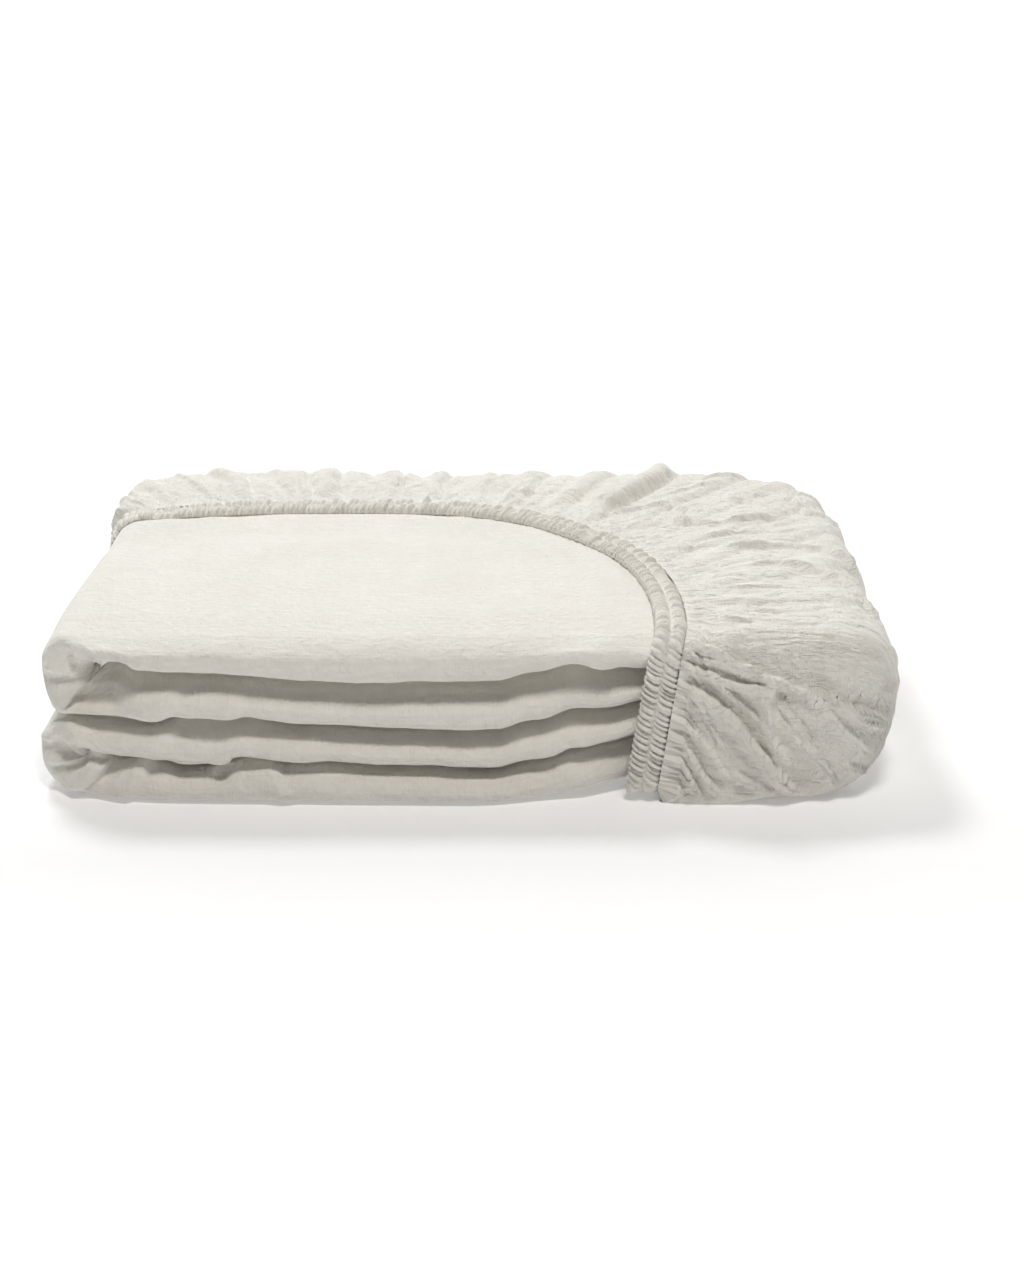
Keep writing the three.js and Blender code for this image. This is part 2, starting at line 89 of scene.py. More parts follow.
def tableColumn(rows, name, x, key="x"):
    # eased from row to row
    xs = np.array([row[key] for row in rows], float)
    vs = np.array([row[name] for row in rows], float)
    i = np.clip(np.searchsorted(xs, x) - 1, 0, len(xs) - 2)
    t = ease((x - xs[i]) / (xs[i + 1] - xs[i]))
    return vs[i] + (vs[i + 1] - vs[i]) * t


def splineThrough(points, t):
    # centripetal curve through the points, t from 0 to 1
    p = np.asarray(points, float)
    ext = np.vstack([2 * p[0] - p[1], p, 2 * p[-1] - p[-2]])
    s = np.clip(np.asarray(t, float), 0, 1) * (len(p) - 1)
    i = np.minimum(np.floor(s).astype(int), len(p) - 2)
    w = (s - i)[:, None]
    p0, p1, p2, p3 = ext[i], ext[i + 1], ext[i + 2], ext[i + 3]
    step = lambda a, b: np.maximum(np.linalg.norm(b - a, axis=1) ** 0.5, 1e-4)[:, None]
    d0, d1, d2 = step(p0, p1), step(p1, p2), step(p2, p3)
    t1 = ((p1 - p0) / d0 - (p2 - p0) / (d0 + d1) + (p2 - p1) / d1) * d1
    t2 = ((p2 - p1) / d1 - (p3 - p1) / (d1 + d2) + (p3 - p2) / d2) * d1
    c2 = -3 * p1 + 3 * p2 - 2 * t1 - t2
    c3 = 2 * p1 - 2 * p2 + t1 + t2
    return p1 + t1 * w + c2 * w ** 2 + c3 * w ** 3


def nearestOnPath(x, y, path):
    # for each point on a plane: its distance from a path, the nearest stretch, share of it and offset
    best = np.full(x.shape, 1e9)
    stretch = np.zeros(x.shape, int)
    part, offX, offY = (np.zeros(x.shape) for _ in range(3))
    for k in range(len(path) - 1):
        (x0, y0), (x1, y1) = path[k], path[k + 1]
        dx, dy = x1 - x0, y1 - y0
        t = np.clip(((x - x0) * dx + (y - y0) * dy) / (dx * dx + dy * dy), 0, 1)
        ex, ey = x - (x0 + dx * t), y - (y0 + dy * t)
        d = np.hypot(ex, ey)
        closer = d < best
        for kept, new in ((best, d), (part, t), (offX, ex), (offY, ey)):
            kept[closer] = new[closer]
        stretch[closer] = k
    return best, stretch, part, offX, offY


def awayFromPath(x, y, path):
    # signed distance from a path on a plane, and the share along it
    path = np.asarray(path, float)
    away, k, part, offX, offY = nearestOnPath(x, y, path)
    steps = np.diff(path, axis=0)
    run = runAlong(path)
    signed = away * np.sign(steps[k, 0] * offY - steps[k, 1] * offX)
    return signed, (run[k] + part * np.linalg.norm(steps, axis=1)[k]) / run[-1]


def squarish(angle, power):
    # how far out and how far up a squarish half round stands
    out = np.abs(np.sin(angle)) ** (2 / power)
    up = np.sign(np.cos(angle)) * np.abs(np.cos(angle)) ** (2 / power)
    return out, up


def unit(vectors):
    return vectors / np.maximum(np.linalg.norm(vectors, axis=-1, keepdims=True), 1e-9)


def runAlong(points):
    # the length from the first point to each one
    return np.concatenate([[0], np.cumsum(np.linalg.norm(np.diff(points, axis=0), axis=1))])


def interpRows(at, run, points):
    return np.column_stack([np.interp(at, run, points[:, k]) for k in range(points.shape[1])])


def gridNormals(grid):
    return unit(np.cross(np.gradient(grid, axis=0), np.gradient(grid, axis=1)))


def quadsOfGrid(rows, cols, start=0, closeRows=False, closeCols=False, flip=False):
    i = np.arange(rows if closeRows else rows - 1)[:, None]
    j = np.arange(cols if closeCols else cols - 1)[None, :]
    i2, j2 = (i + 1) % rows, (j + 1) % cols
    quads = np.stack([i * cols + j, i2 * cols + j, i2 * cols + j2, i * cols + j2], axis=-1)
    quads = quads.reshape(-1, 4) + start
    return quads[:, ::-1] if flip else quads


def meshPiece(name, points, quads, material, uv=None):
    # points in millimetres, uv one for each point or one for each corner of each face
    mesh = bpy.data.meshes.new(name)
    mesh.vertices.add(len(points))
    mesh.vertices.foreach_set("co", (np.asarray(points, float) * mm).ravel())
    mesh.loops.add(len(quads) * 4)
    mesh.loops.foreach_set("vertex_index", np.asarray(quads, np.int32).ravel())
    mesh.polygons.add(len(quads))
    mesh.polygons.foreach_set("loop_start", np.arange(0, len(quads) * 4, 4, dtype=np.int32))
    mesh.polygons.foreach_set("use_smooth", np.ones(len(quads), bool))
    if uv is not None:
        layer = mesh.uv_layers.new(name="cloth")
        uv = np.asarray(uv, float)
        if len(uv) == len(points):
            uv = uv[np.asarray(quads).ravel()]
        layer.data.foreach_set("uv", (uv * mm).ravel())
    mesh.update(calc_edges=True)
    mesh.validate()
    piece = bpy.data.objects.new(name, mesh)
    scene.collection.objects.link(piece)
    mesh.materials.append(material)
    return piece


print("stage: cloth finishes")

muslinLook = {
    "colour": (0.875, 0.848, 0.79, 1),
    "shade": (0.79, 0.75, 0.675, 1),      # painted shade: the colour of the hollows between threads and of the lines between crinkle puffs
    "roughness": 0.95,
    "sheen": 0.25,
    "threadPitch": 0.62,                   # mm, thread to thread
    "threadDepth": 0.10,
    "crinkleSize": 3.4,                    # mm, puff to puff
    "crinkleDepth": 0.34,
    "nap": 0.05,
    "fuzzSize": 1.9,                       # mm, the brushed face
    "fuzzDepth": 0.10,
    # share of painted shade in the hollows between threads
    "threadHollowShade": 0.2,
}


def newMaterial(name):
    material = bpy.data.materials.new(name)
    material.use_nodes = True
    return material, material.node_tree


def setInputs(tree, node, inputs):
    # values on a node's inputs, or links where the value is another node's output
    for name, value in inputs.items():
        if isinstance(value, bpy.types.NodeSocket):
            tree.links.new(value, node.inputs[name])
        else:
            node.inputs[name].default_value = value
    return node


def addNode(tree, kind, inputs, **settings):
    node = tree.nodes.new("ShaderNode" + kind)
    for name, value in settings.items():
        setattr(node, name, value)
    return setInputs(tree, node, inputs)


def clothMaterial(name, look, crinkleStretch=(1.0, 1.0)):
    material, tree = newMaterial(name)
    tree.nodes.clear()
    cloth = addNode(tree, "BsdfPrincipled", {
        "Roughness": look["roughness"],
        "Sheen Weight": look["sheen"],
        "Sheen Roughness": 0.6,
        "Specular IOR Level": 0.15,
    })
    addNode(tree, "OutputMaterial", {"Surface": cloth.outputs["BSDF"]})
    onCloth = addNode(tree, "UVMap", {}, uv_map="cloth").outputs["UV"]
    noiseCell = 1.6                        # how much larger a puff is than the noise's own unit

    def combine(kind, a, b):
        return addNode(tree, "Math", {0: a, 1: b}, operation=kind).outputs[0]

    def weighedSum(parts):
        total = None
        for pattern, weight in parts:
            part = combine("MULTIPLY", pattern, weight)
            total = part if total is None else combine("ADD", total, part)
        return total

    def noise(vector, scale, detail, dimensions="3D", roughness=0.5, distortion=0.0):
        return addNode(tree, "TexNoise", {
            "Vector": vector,
            "Scale": scale,
            "Detail": detail,
            "Roughness": roughness,
            "Distortion": distortion,
        }, noise_dimensions=dimensions).outputs["Fac"]

    def puffs(stretch, shift):
        # low puffs with sharp lines between them
        grain = addNode(tree, "Mapping", {
            "Vector": onCloth,
            "Scale": (stretch[0] * crinkleStretch[0], stretch[1] * crinkleStretch[1], 1),
            "Location": (shift, shift * 0.37, 0),
        })
        scale = 1000 / look["crinkleSize"] / noiseCell
        pattern = noise(grain.outputs["Vector"], scale, 2.5, "2D", distortion=0.25)
        fromLine = combine("ABSOLUTE", combine("SUBTRACT", pattern, 0.5), 0.0)
        return combine("POWER", combine("MINIMUM", combine("MULTIPLY", fromLine, 5.0), 1.0), 0.6)

    def threads(direction):
        return addNode(tree, "TexWave", {
            "Vector": onCloth,
            "Scale": 1000 / look["threadPitch"] / 20 * math.pi,
            "Distortion": 1.6,
            "Detail": 1.0,
            "Detail Scale": 0.6,
        }, wave_type="BANDS", bands_direction=direction, wave_profile="SIN").outputs["Fac"]

    # the crinkle: long puffs along the cloth and shorter ones across it
    crinkle = weighedSum([(puffs((0.34, 1.25), 3.1), 0.65), (puffs((1.1, 0.45), 7.7), 0.35)])
    weave = combine("MAXIMUM", threads("X"), threads("Y"))
    fuzz = noise(onCloth, 1000 / look["fuzzSize"] / noiseCell, 3.0, "2D", roughness=0.65)
    nap = noise(onCloth, 1400, 2.0)
    relief = weighedSum([
        (crinkle, look["crinkleDepth"]),
        (weave, look["threadDepth"]),
        (nap, look["nap"]),
        (fuzz, look["fuzzDepth"]),
    ])
    bump = addNode(tree, "Bump", {"Strength": 1.0, "Distance": mm, "Height": relief})

    # painted shade: the hollows between threads and the lines between crinkle puffs are darker than the
    # threads, with broad uneven tone on top
    tone = noise(onCloth, 22, 4.0)
    shadeAndTone = weighedSum([(weave, look["threadHollowShade"]), (crinkle, 0.35), (tone, 0.7)])
    ramp = addNode(tree, "ValToRGB", {"Fac": shadeAndTone})
    stops = ramp.color_ramp.elements
    stops[0].position, stops[0].color = 0.1, look["shade"]
    stops[1].position, stops[1].color = 0.75, look["colour"]
    setInputs(tree, cloth, {"Normal": bump.outputs["Normal"], "Base Color": ramp.outputs["Color"]})
    return material


panelLook = {
    **muslinLook, "crinkleDepth": 0.26, "crinkleSize": 2.4,
    "nap": 0.08, "fuzzDepth": 0.75, "threadDepth": 0.05, "threadHollowShade": 0.1,
}
cornerLook = {
    **muslinLook, "crinkleDepth": 0.62, "crinkleSize": 2.8,
    "fuzzDepth": 0.45, "colour": (0.865, 0.838, 0.778, 1),
}
bindingLook = {
    **muslinLook, "crinkleDepth": 0.12, "crinkleSize": 2.0,
    "colour": (0.855, 0.828, 0.768, 1),
}
threadLook = {
    **muslinLook, "crinkleDepth": 0.0, "threadPitch": 0.3,
    "colour": (0.82, 0.79, 0.735, 1),
}
panelCloth = clothMaterial("smooth_muslin", panelLook, crinkleStretch=(0.8, 1.0))
cornerCloth = clothMaterial("crinkled_muslin", cornerLook)
bindingCloth = clothMaterial("binding_muslin", bindingLook)
threadFinish = clothMaterial("sewing_thread", threadLook)

print("stage: the plan")

# Ribs run from the gathered edge out to the side of the stack: first at the left, then the back,
# and last the front. A crown is how far a rib stands over the stack, and roundness how wide it turns.
ribs = table("edgeX edgeY sideX sideY roundness crown", [
    (-157.5, 55, -163.8, 56, 6, 0),
    (-146, 58, -163.8, 80, 14, 1.5),
    (-124, 63, -155, 108, 15, 1.8),
    (-104, 66, -132, 116, 13, 2),
    (-80, 68, -92, 118, 12, 2),
    (-35, 68, -38, 118, 12, 2),
    (0, 63, 10, 118.5, 12, 1.8),
    (30, 48, 60, 118.5, 14, 1.8),
    (52, 24, 112, 118, 17, 2.2),
    (66, 3, 148, 103, 20, 2.2),
    (75, -18, 159, 62, 20, 2.4),
    (80.4, -42, 162, 12, 22, 2),
    (83, -66, 163, -40, 26, 1),
    (83.3, -84, 163.5, -82, 27, 0),
    (83, -96, 159, -107, 26, -1),
    (82.6, -103, 136, -117, 21, -1.5),
    (81.8, -109, 102, -117, 10, -1.5),
    (80.8, -111.5, 80.8, -115.5, 5, -1),
])
lastRib = len(ribs) - 1
packShape = {
    "stackTop": 63.4,
    "skirtTop": 66.0,
    "lift": 2.6,              # how far the cloth underneath lifts the stack
    "gap": 0.4,               # between the pieces
    "bulge": 37,              # height where the corner stands out furthest
    "upperSquareness": 3.0,
    "lowerSquareness": 3.2,
    "cornerSquareness": 2.2,  # rounder at the front right
    "frontLean": 9.6,         # how far the gathered edge leans left down the front
    "turnSquareness": 2.7,
    "frontSlant": 1.0,        # how steeply the gathers run down the front
}
levelHeights = {"gapCD": 16, "gapBC": 31.5, "gapAB": 47.6}     # between layers, behind the front edge


def leanAt(rib, height):
    return packShape["frontLean"] * ease((rib - 11) / 4) * (1 - height / packShape["skirtTop"])


def ribColumn(name, rib):
    values = np.array([row[name] for row in ribs], float)
    return np.interp(rib, np.arange(len(ribs)), values)


edgePoints = [(row["edgeX"], row["edgeY"]) for row in ribs]
sidePoints = [(row["sideX"], row["sideY"]) for row in ribs]

print("stage: the elastic binding")

band = {
    "width": 12.4,
    "thick": 4.2,
    "thickUnder": 2.0,
    "leftThinning": 0.36,     # how much thinner it lies at the left,
    "leftFrom": -120,         # from this x on
    "leftOver": 28,
    "step": 0.28,             # mm between sections
    "ruffle": 2.35,           # mm from ruffle to ruffle
    "ruffleRise": 3.0,
    "ruffleSkew": 2.2,        # mm that a ruffle slants over half the width
    "ruffleMiddle": 0.6,      # the level of a ruffle that moves nothing
    "innerSeed": 201,
    "outerSeed": 307,
    "edgeWave": 0.9,
    "joinX": -22,
    "joinRise": 1.6,
    "joinWidth": 1.3,
    "seamSide": 0.47,         # where the corner is sewn on: share of the width
    "seamHeight": 0.62,       # and of the thickness
}
elasticJoin = {"y": -95, "from": 4, "to": 16, "ruffle": 0.25, "blur": 9}    # at the foot of the front
bindingEnds = {"left": 1.1, "front": 15}       # the ribs where it turns down
frontBend = {"y": -103, "radius": 8.6, "lean": 2}
leftBend = {"x": -144, "reach": 15.7, "lift": 0.4, "drift": 3.4}
bindingTop = packShape["stackTop"] + packShape["gap"]
bindingFloor = packShape["lift"] - packShape["gap"]


def bindingPlan(rib, height):
    # the middle of the band in plan: beside the gathered edge
    def at(r):
        p = splineThrough(edgePoints, np.clip(r, 0, lastRib) / lastRib)
        p[:, 0] -= leanAt(np.clip(r, 0, lastRib), height)
        return p
    forwards = unit(at(rib + 0.1) - at(rib - 0.1))
    inwards = np.column_stack([forwards[:, 1], -forwards[:, 0]])
    return at(rib) + inwards * (band["width"] / 2 + 3 * packShape["gap"])


def bindingPath():
    # the middle of the band's inner face all the way round, and the way it faces
    rib = np.linspace(bindingEnds["left"], bindingEnds["front"], 160)
    top = bindingPlan(rib, bindingTop)
    bottom = bindingPlan(rib, bindingFloor)
    angles = np.linspace(0, math.pi / 2, 26)[1:]
    levels = np.linspace(0, 1, 22)[1:-1]
    steps = [(a, 0.0) for a in angles] + [(math.pi / 2, s) for s in levels]
    steps += [(math.pi - a, 1.0) for a in angles[::-1]]

    def between(topEnd, bottomEnd, height):
        wholeHeight = bindingTop - bindingFloor
        return bottomEnd + (topEnd - bottomEnd) * (height - bindingFloor) / wholeHeight

    front, left = [], []
    for angle, share in steps:
        r = frontBend["radius"]
        sine, cosine = math.sin(angle), math.cos(angle)
        height = (bindingTop - r) + (bindingFloor + r - bindingTop + r) * share + r * cosine
        place = between(top[-1], bottom[-1], height)
        at = (place[0] - frontBend["lean"] * sine, frontBend["y"] - r * sine, height)
        front.append((at, (0, -sine, cosine)))
        out, up = squarish(np.array(angle), packShape["turnSquareness"])
        upperMiddle = (packShape["stackTop"] + levelHeights["gapBC"]) / 2
        lowerMiddle = (levelHeights["gapBC"] + packShape["lift"]) / 2
        half = bindingTop - upperMiddle if share < 1 else lowerMiddle - bindingFloor
        height = upperMiddle + (lowerMiddle - upperMiddle) * share + up * (leftBend["lift"] + half)
        place = between(top[0], bottom[0], height)
        at = (leftBend["x"] - leftBend["reach"] * out, place[1] - leftBend["drift"] * out, height)
        left.append((at, (-sine, 0, cosine)))

    def flat(plan, height, up):
        return [((p[0], p[1], height), (0, 0, up)) for p in plan]

    frames = flat(top, bindingTop, 1) + front + flat(bottom[::-1], bindingFloor, -1) + left[::-1]
    at = np.array([f[0] for f in frames], float)
    out = np.array([f[1] for f in frames], float)
    # it starts and ends under the stack, out of sight
    start = len(top) + len(front) + len(bottom) // 2
    return np.roll(at, -start, axis=0), np.roll(out, -start, axis=0)


def evenPath():
    at, out = bindingPath()
    at = np.vstack([at, at[:1]])
    out = np.vstack([out, out[:1]])
    run = runAlong(at)
    count = int(run[-1] / band["step"])
    s = np.linspace(0, run[-1], count, endpoint=False)
    place, face = interpRows(s, run, at), interpRows(s, run, out)
    span = max(3, int(6 / band["step"]))          # smooth over about 6 mm
    kernel = np.hanning(2 * span + 1)
    kernel /= kernel.sum()

    def smooth(v):
        padded = np.vstack([v[-span:], v, v[:span]])
        return np.column_stack([np.convolve(column, kernel, "valid") for column in padded.T])

    place, face = smooth(place), unit(smooth(face))
    ahead = unit(np.roll(place, -1, axis=0) - np.roll(place, 1, axis=0))
    across = unit(np.cross(ahead, face))
    return s, place, face, across


def ruffleField(s, pitch, seed):
    drift = 0.6 * softNoise(s / (pitch * 3.1), 0 * s, seed)
    drift = drift + 0.22 * softNoise(s / (pitch * 1.3), 0 * s, seed + 1)
    x = s / pitch + drift
    cell = np.floor(x)
    inside = x - cell
    own = 0.72 + 0.28 * lattice(cell, 1, seed + 2)
    return own * (4 * inside * (1 - inside)) ** 0.8


def bandThickness(place, face):
    # thinner under the stack and where it lies low at the left
    under = ease(-face[:, 2])
    thick = band["thick"] + (band["thickUnder"] - band["thick"]) * under
    atLeft = ease((band["leftFrom"] - place[:, 0]) / band["leftOver"])
    return thick * (1 - band["leftThinning"] * atLeft), under


# Section points: shares of half the width and of the thickness, and how much the ruffles move each.
# The side that looks inwards is rounder than the side with the seam.
bandSection = table("side height ruffle", [
    (0.00, 0.00, 0.00), (0.55, 0.00, 0.00), (0.97, 0.02, 0.00), (1.00, 0.18, 0.35),
    (0.92, 0.42, 0.75), (0.78, 0.68, 1.00), (0.60, 0.84, 1.00), (0.44, 0.90, 1.00),
    (0.28, 0.86, 0.95), (0.13, 0.70, 0.65), (0.03, 0.50, 0.15), (-0.03, 0.50, 0.15),
    (-0.13, 0.70, 0.65), (-0.28, 0.86, 0.95), (-0.46, 0.93, 1.00), (-0.64, 0.90, 1.00),
    (-0.82, 0.78, 1.00), (-0.95, 0.52, 0.75), (-1.01, 0.22, 0.35), (-0.97, 0.02, 0.00),
    (-0.55, 0.00, 0.00),
])


def makeBinding():
    s, place, face, across = evenPath()
    thick, beneath = bandThickness(place, face)
    # plain and flatter where the elastic is joined
    least, blur = elasticJoin["ruffle"], elasticJoin["blur"]
    foot = (place[:, 1] < elasticJoin["y"]) & (place[:, 2] < elasticJoin["to"])
    upwards = ease((place[:, 2] - elasticJoin["from"]) / (elasticJoin["to"] - elasticJoin["from"]))
    calm = np.where(foot, upwards * (1 - least) + least, 1.0)
    calm = np.concatenate([calm[-blur:], calm, calm[:blur]])
    calm = np.convolve(calm, np.ones(2 * blur + 1) / (2 * blur + 1), "valid")
    under = 1 - 0.6 * beneath
    # a raised join across the band at the back, on top of the stack
    joinAt = s[np.argmin(np.abs(place[:, 0] - band["joinX"]) + 9 * (face[:, 2] < 0.9))]
    join = band["joinRise"] * bell((s - joinAt) / band["joinWidth"])
    rows = []
    for point in bandSection:
        side = point["side"]
        seed = band["innerSeed"] if side < 0 else band["outerSeed"]
        ruffle, slanted = (
            ruffleField(s + shift, band["ruffle"], seed) - band["ruffleMiddle"]
            for shift in (0, band["ruffleSkew"] * side)
        )
        lift = slanted * band["ruffleRise"] * calm * under * point["ruffle"]
        wave = band["edgeWave"] * ruffle * calm * (abs(side) > 0.9) * np.sign(side)
        sink = 0.25 * layeredNoise(s / 22.0, s * 0 + side, 88, 2) + join
        height = np.maximum(point["height"] * thick * 0.97 + lift + sink * point["ruffle"], 0)
        out = side * band["width"] / 2 + wave
        rows.append(place + across * out[:, None] + face * height[:, None])
    grid = np.stack(rows, axis=1)
    grid[:, :, 2] = np.maximum(grid[:, :, 2], 0.05)
    shape = grid.shape[:2]
    along = np.repeat(s[:, None], shape[1], axis=1)
    over = np.repeat(np.linspace(0, 40, shape[1])[None, :], shape[0], axis=0)
    uv = np.stack([along * 1.8, over], axis=2).reshape(-1, 2)
    quads = quadsOfGrid(shape[0], shape[1], closeRows=True, closeCols=True)
    return meshPiece("ruffled_binding", grid.reshape(-1, 3), quads, bindingCloth, uv)


binding = makeBinding()
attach(binding, "root")
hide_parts("elastic_binding")
print("binding faces", len(binding.data.polygons))

print("stage: the gathered corner")

cornerMesh = {"ribs": 800, "steps": 120}

# Families of gathers: pitch along the binding, how far they rise, where they start and die away,
# and the column of gatherStrength that they follow.
gatherFamilies = table("pitch rise start full reach wander seed strength", [
    (2.9, 1.4, 0.0, 2.0, 12, 0.5, 11, "fine"),
    (5.2, 1.8, 1.0, 6, 24, 0.8, 23, "fine"),
    (9.5, 1.9, 4, 14, 56, 0.9, 37, "broad"),
    (21, 2.0, 10, 34, 110, 0.8, 41, "broad"),
])
# Main gathers: at is a rib number, width is in ribs, and reach is a share of the way to the floor.
gathers = table("at rise width reach", [
    (0.9, 1.1, 0.09, 0.5),
    (1.7, 1.3, 0.16, 0.45),
    (2.5, 1.2, 0.08, 0.5),
    (3.2, 2.0, 0.11, 0.55),
    (3.9, 1.2, 0.06, 0.4),
    (4.35, 2.6, 0.09, 0.6),
    (4.95, 1.3, 0.06, 0.45),
    (5.4, 1.9, 0.08, 0.5),
    (5.95, 1.2, 0.055, 0.4),
    (6.4, 2.2, 0.1, 0.55),
    (7.05, 2.2, 0.1, 0.5),
    (7.6, 5.0, 0.12, 0.6),
    (8.3, 1.6, 0.13, 0.55),
    (9.0, 1.2, 0.14, 0.6),
    (9.8, 1.3, 0.15, 0.65),
    (10.6, 1.0, 0.15, 0.6),
    (11.5, 1.1, 0.15, 0.7),
    (12.4, 1.0, 0.16, 0.6),
    (13.3, 0.8, 0.16, 0.5),
])
# Sharp little tucks between the folds: how far apart and how long, how wide and deep, from how far in.
tucks = table("apart long wide deep from seed", [
    (9.0, 34.0, 0.18, 0.9, 12, 501),
    (4.5, 15.0, 0.25, 0.6, 6, 521),
])
unevenness = {"puff": 1.1, "puffSize": 46.0, "crumple": 0.5, "pucker": 0.3, "puckerSize": 3.6}
# How strong the gathers are along the binding, by rib.
gatherStrength = table("x fine broad", [
    (0, 0.8, 0.5), (3, 1.0, 1.0), (6, 1.0, 1.05), (8, 0.9, 0.85), (10, 0.75, 0.6), (12, 0.7, 0.4),
    (14, 0.9, 0.4), (15.2, 1.25, 0.6), (17, 1.3, 0.7),
])
# Creases placed one by one, over (x, y) on top and over (x, z) on the front. Those of the front are
# laid out on an upright plane, as seen from the eye's place.
eye = (16, -781, 308)
creasePlanes = {"corner": -117, "panel": -113}
creaseSeeds = {"top": 60, "front": 90, "panel": 160}
creaseLimits = {"rise": 5.2, "depth": 3.3}
topCreases = table("path rise width", [
    ([(102, 97), (112, 101), (127, 107), (140, 118)], 1.0, 2.1),
    ([(77, 67), (91, 72), (104, 84), (112, 90)], 0.9, 2.1),
    ([(57, 45), (70, 53), (84, 56), (94, 47), (106, 44)], 1.0, 2.0),
    ([(84, 33), (98, 28), (108, 26), (119, 30), (131, 31), (140, 27)], 1.6, 2.4),
    ([(128, 64), (139, 56), (144, 42), (155, 38), (166, 24)], 1.3, 2.3),
    ([(80, -7), (90, -5), (100, -2)], 0.7, 1.7),
    ([(102, -8), (116, -7), (130, -6), (143, -10), (154, -19), (168, -34)], 1.5, 2.6),
    ([(108, -30), (121, -29), (131, -33), (141, -39), (151, -50), (162, -68), (172, -86)], 1.4, 2.6),
    ([(86, -36), (94, -35), (104, -39)], 0.6, 1.6),
    ([(94, -91), (108, -94)], 0.5, 1.6),
    ([(102, -79), (120, -84)], 0.4, 1.8),
    ([(85, -103), (95, -106)], 0.5, 1.5),
    ([(134, 82), (146, 72), (158, 70), (172, 62)], 1.0, 2.3),
    ([(112, 62), (124, 58), (133, 50)], 0.8, 1.8),
    ([(98, 8), (112, 12), (128, 10), (140, 12)], 0.7, 1.8),
    ([(90, -55), (104, -58), (122, -56), (134, -60)], 0.5, 1.7),
    ([(166, 60), (180, 44), (190, 30)], 1.1, 2.8),
    ([(165, 8), (182, 2), (200, 4)], 1.2, 2.9),
    ([(166, -50), (184, -62), (204, -60)], 1.2, 2.9),
    ([(168, -88), (186, -92), (206, -84)], 1.0, 2.8),
])
frontCreases = table("path rise width hollow hollowReach", [
    ([(76, 70), (96, 61), (116, 51.5), (136, 43), (162, 34)], 3.4, 2.6, 1.8, 8),
    ([(77, 64), (95, 57), (110, 52.5), (119, 46)], 2.2, 1.7),
    ([(77, 60), (91, 54), (100, 50), (109, 49), (115, 43)], 2.9, 2.3, 0.8, 3),
    ([(116, 50), (112, 42), (114, 29), (118, 17)], 3.1, 3.2, 1.2, 5),
    ([(77, 54), (89, 45), (99, 37), (105, 28), (114, 17), (124, 7), (133, 0)], 3.4, 2.7, 1.5, 5),
    ([(93, 50), (101, 42), (109, 35)], 2.2, 1.7),
    ([(97, 38), (104, 28), (112, 20)], 2.1, 1.7),
    ([(72, 26), (76, 13), (84, 0)], 2.2, 1.6),
    ([(76, 28), (82, 14), (90, 0)], 2.6, 1.7),
    ([(77, 33), (86, 17), (98, 0)], 2.5, 1.8),
    ([(76, 40), (85, 30), (93, 20), (98, 10)], 2.0, 1.6),
    ([(97, 16), (112, 8), (130, 1)], 2.0, 2.0),
    ([(126, 46), (139, 33), (152, 20)], 2.0, 4.0),
    ([(134, 41), (156, 32)], 1.2, 1.6),
    ([(140, 18), (152, 15)], 1.0, 1.6),
    ([(121, 70), (122, 54)], 0.3, 1.5),
    ([(120, 30), (132, 18), (140, 6)], 1.6, 2.2),
    ([(146, 60), (151, 47), (152, 36)], 1.1, 1.8),
])


# The front of the corner in plan, and how widely its top and bottom edges are rounded.
frontLine = table("x y", [
    (60, -114.5), (80, -115.5), (102, -117), (130, -117), (146, -113.5), (156, -106), (161, -96),
    (163.5, -82), (163.5, -60),
])
frontRounds = {
    "upper": {"height": None, "left": 7, "right": 21, "over": 26},      # at the top of each rib
    "lower": {"height": 0.0, "left": 2.5, "right": 13, "over": 40},
}
frontRoundsFrom = {"x": 84, "y": -42}      # where they start to widen, and where they fade in


def ribPlaces():
    # more ribs where folds are sharp and close to the eye: the front and the right
    share = np.linspace(0, 1, cornerMesh["ribs"] + 1)
    return np.interp(share, (0, 0.35, 0.68, 1), (0, 8, 13, lastRib))


def roundFrontEdges(points, inwards, outline, top):
    # the cloth turns over the front in a wide soft curve, and tucks in softly at the floor
    x, y, z = (points[:, :, k].copy() for k in range(3))
    _, k, part, offX, offY = nearestOnPath(x, y, outline)
    inX, inY = (inwards[k, i] + (inwards[k + 1, i] - inwards[k, i]) * part for i in (0, 1))
    depth = offX * inX + offY * inY
    for edge in frontRounds.values():
        radius = ease((x - frontRoundsFrom["x"]) / edge["over"])
        radius = edge["left"] + (edge["right"] - edge["left"]) * radius
        lower = edge["height"] is not None
        level = z - edge["height"] if lower else np.maximum(top - z, 0)
        a, b = radius - depth, radius - level
        reach = np.hypot(a, b)
        outside = (a > 0) & (b > 0) & (reach > radius)
        fade = ease((frontRoundsFrom["y"] - y) / 30)
        pull = np.where(outside, 1 - radius / np.maximum(reach, 1e-6), 0) * fade
        x, y = x + inX * a * pull, y + inY * a * pull
        z = z + b * pull * (1 if lower else -1)
        depth = depth + a * pull
    return np.stack([x, y, z], axis=2)


def blurredColumn(name, rib):
    fineRib = np.linspace(0, lastRib, 700)
    kernel = np.hanning(33)[1:-1] / np.hanning(33).sum()
    blurred = np.convolve(np.pad(ribColumn(name, fineRib), 15, mode="edge"), kernel, "valid")
    return np.interp(rib, fineRib, blurred)


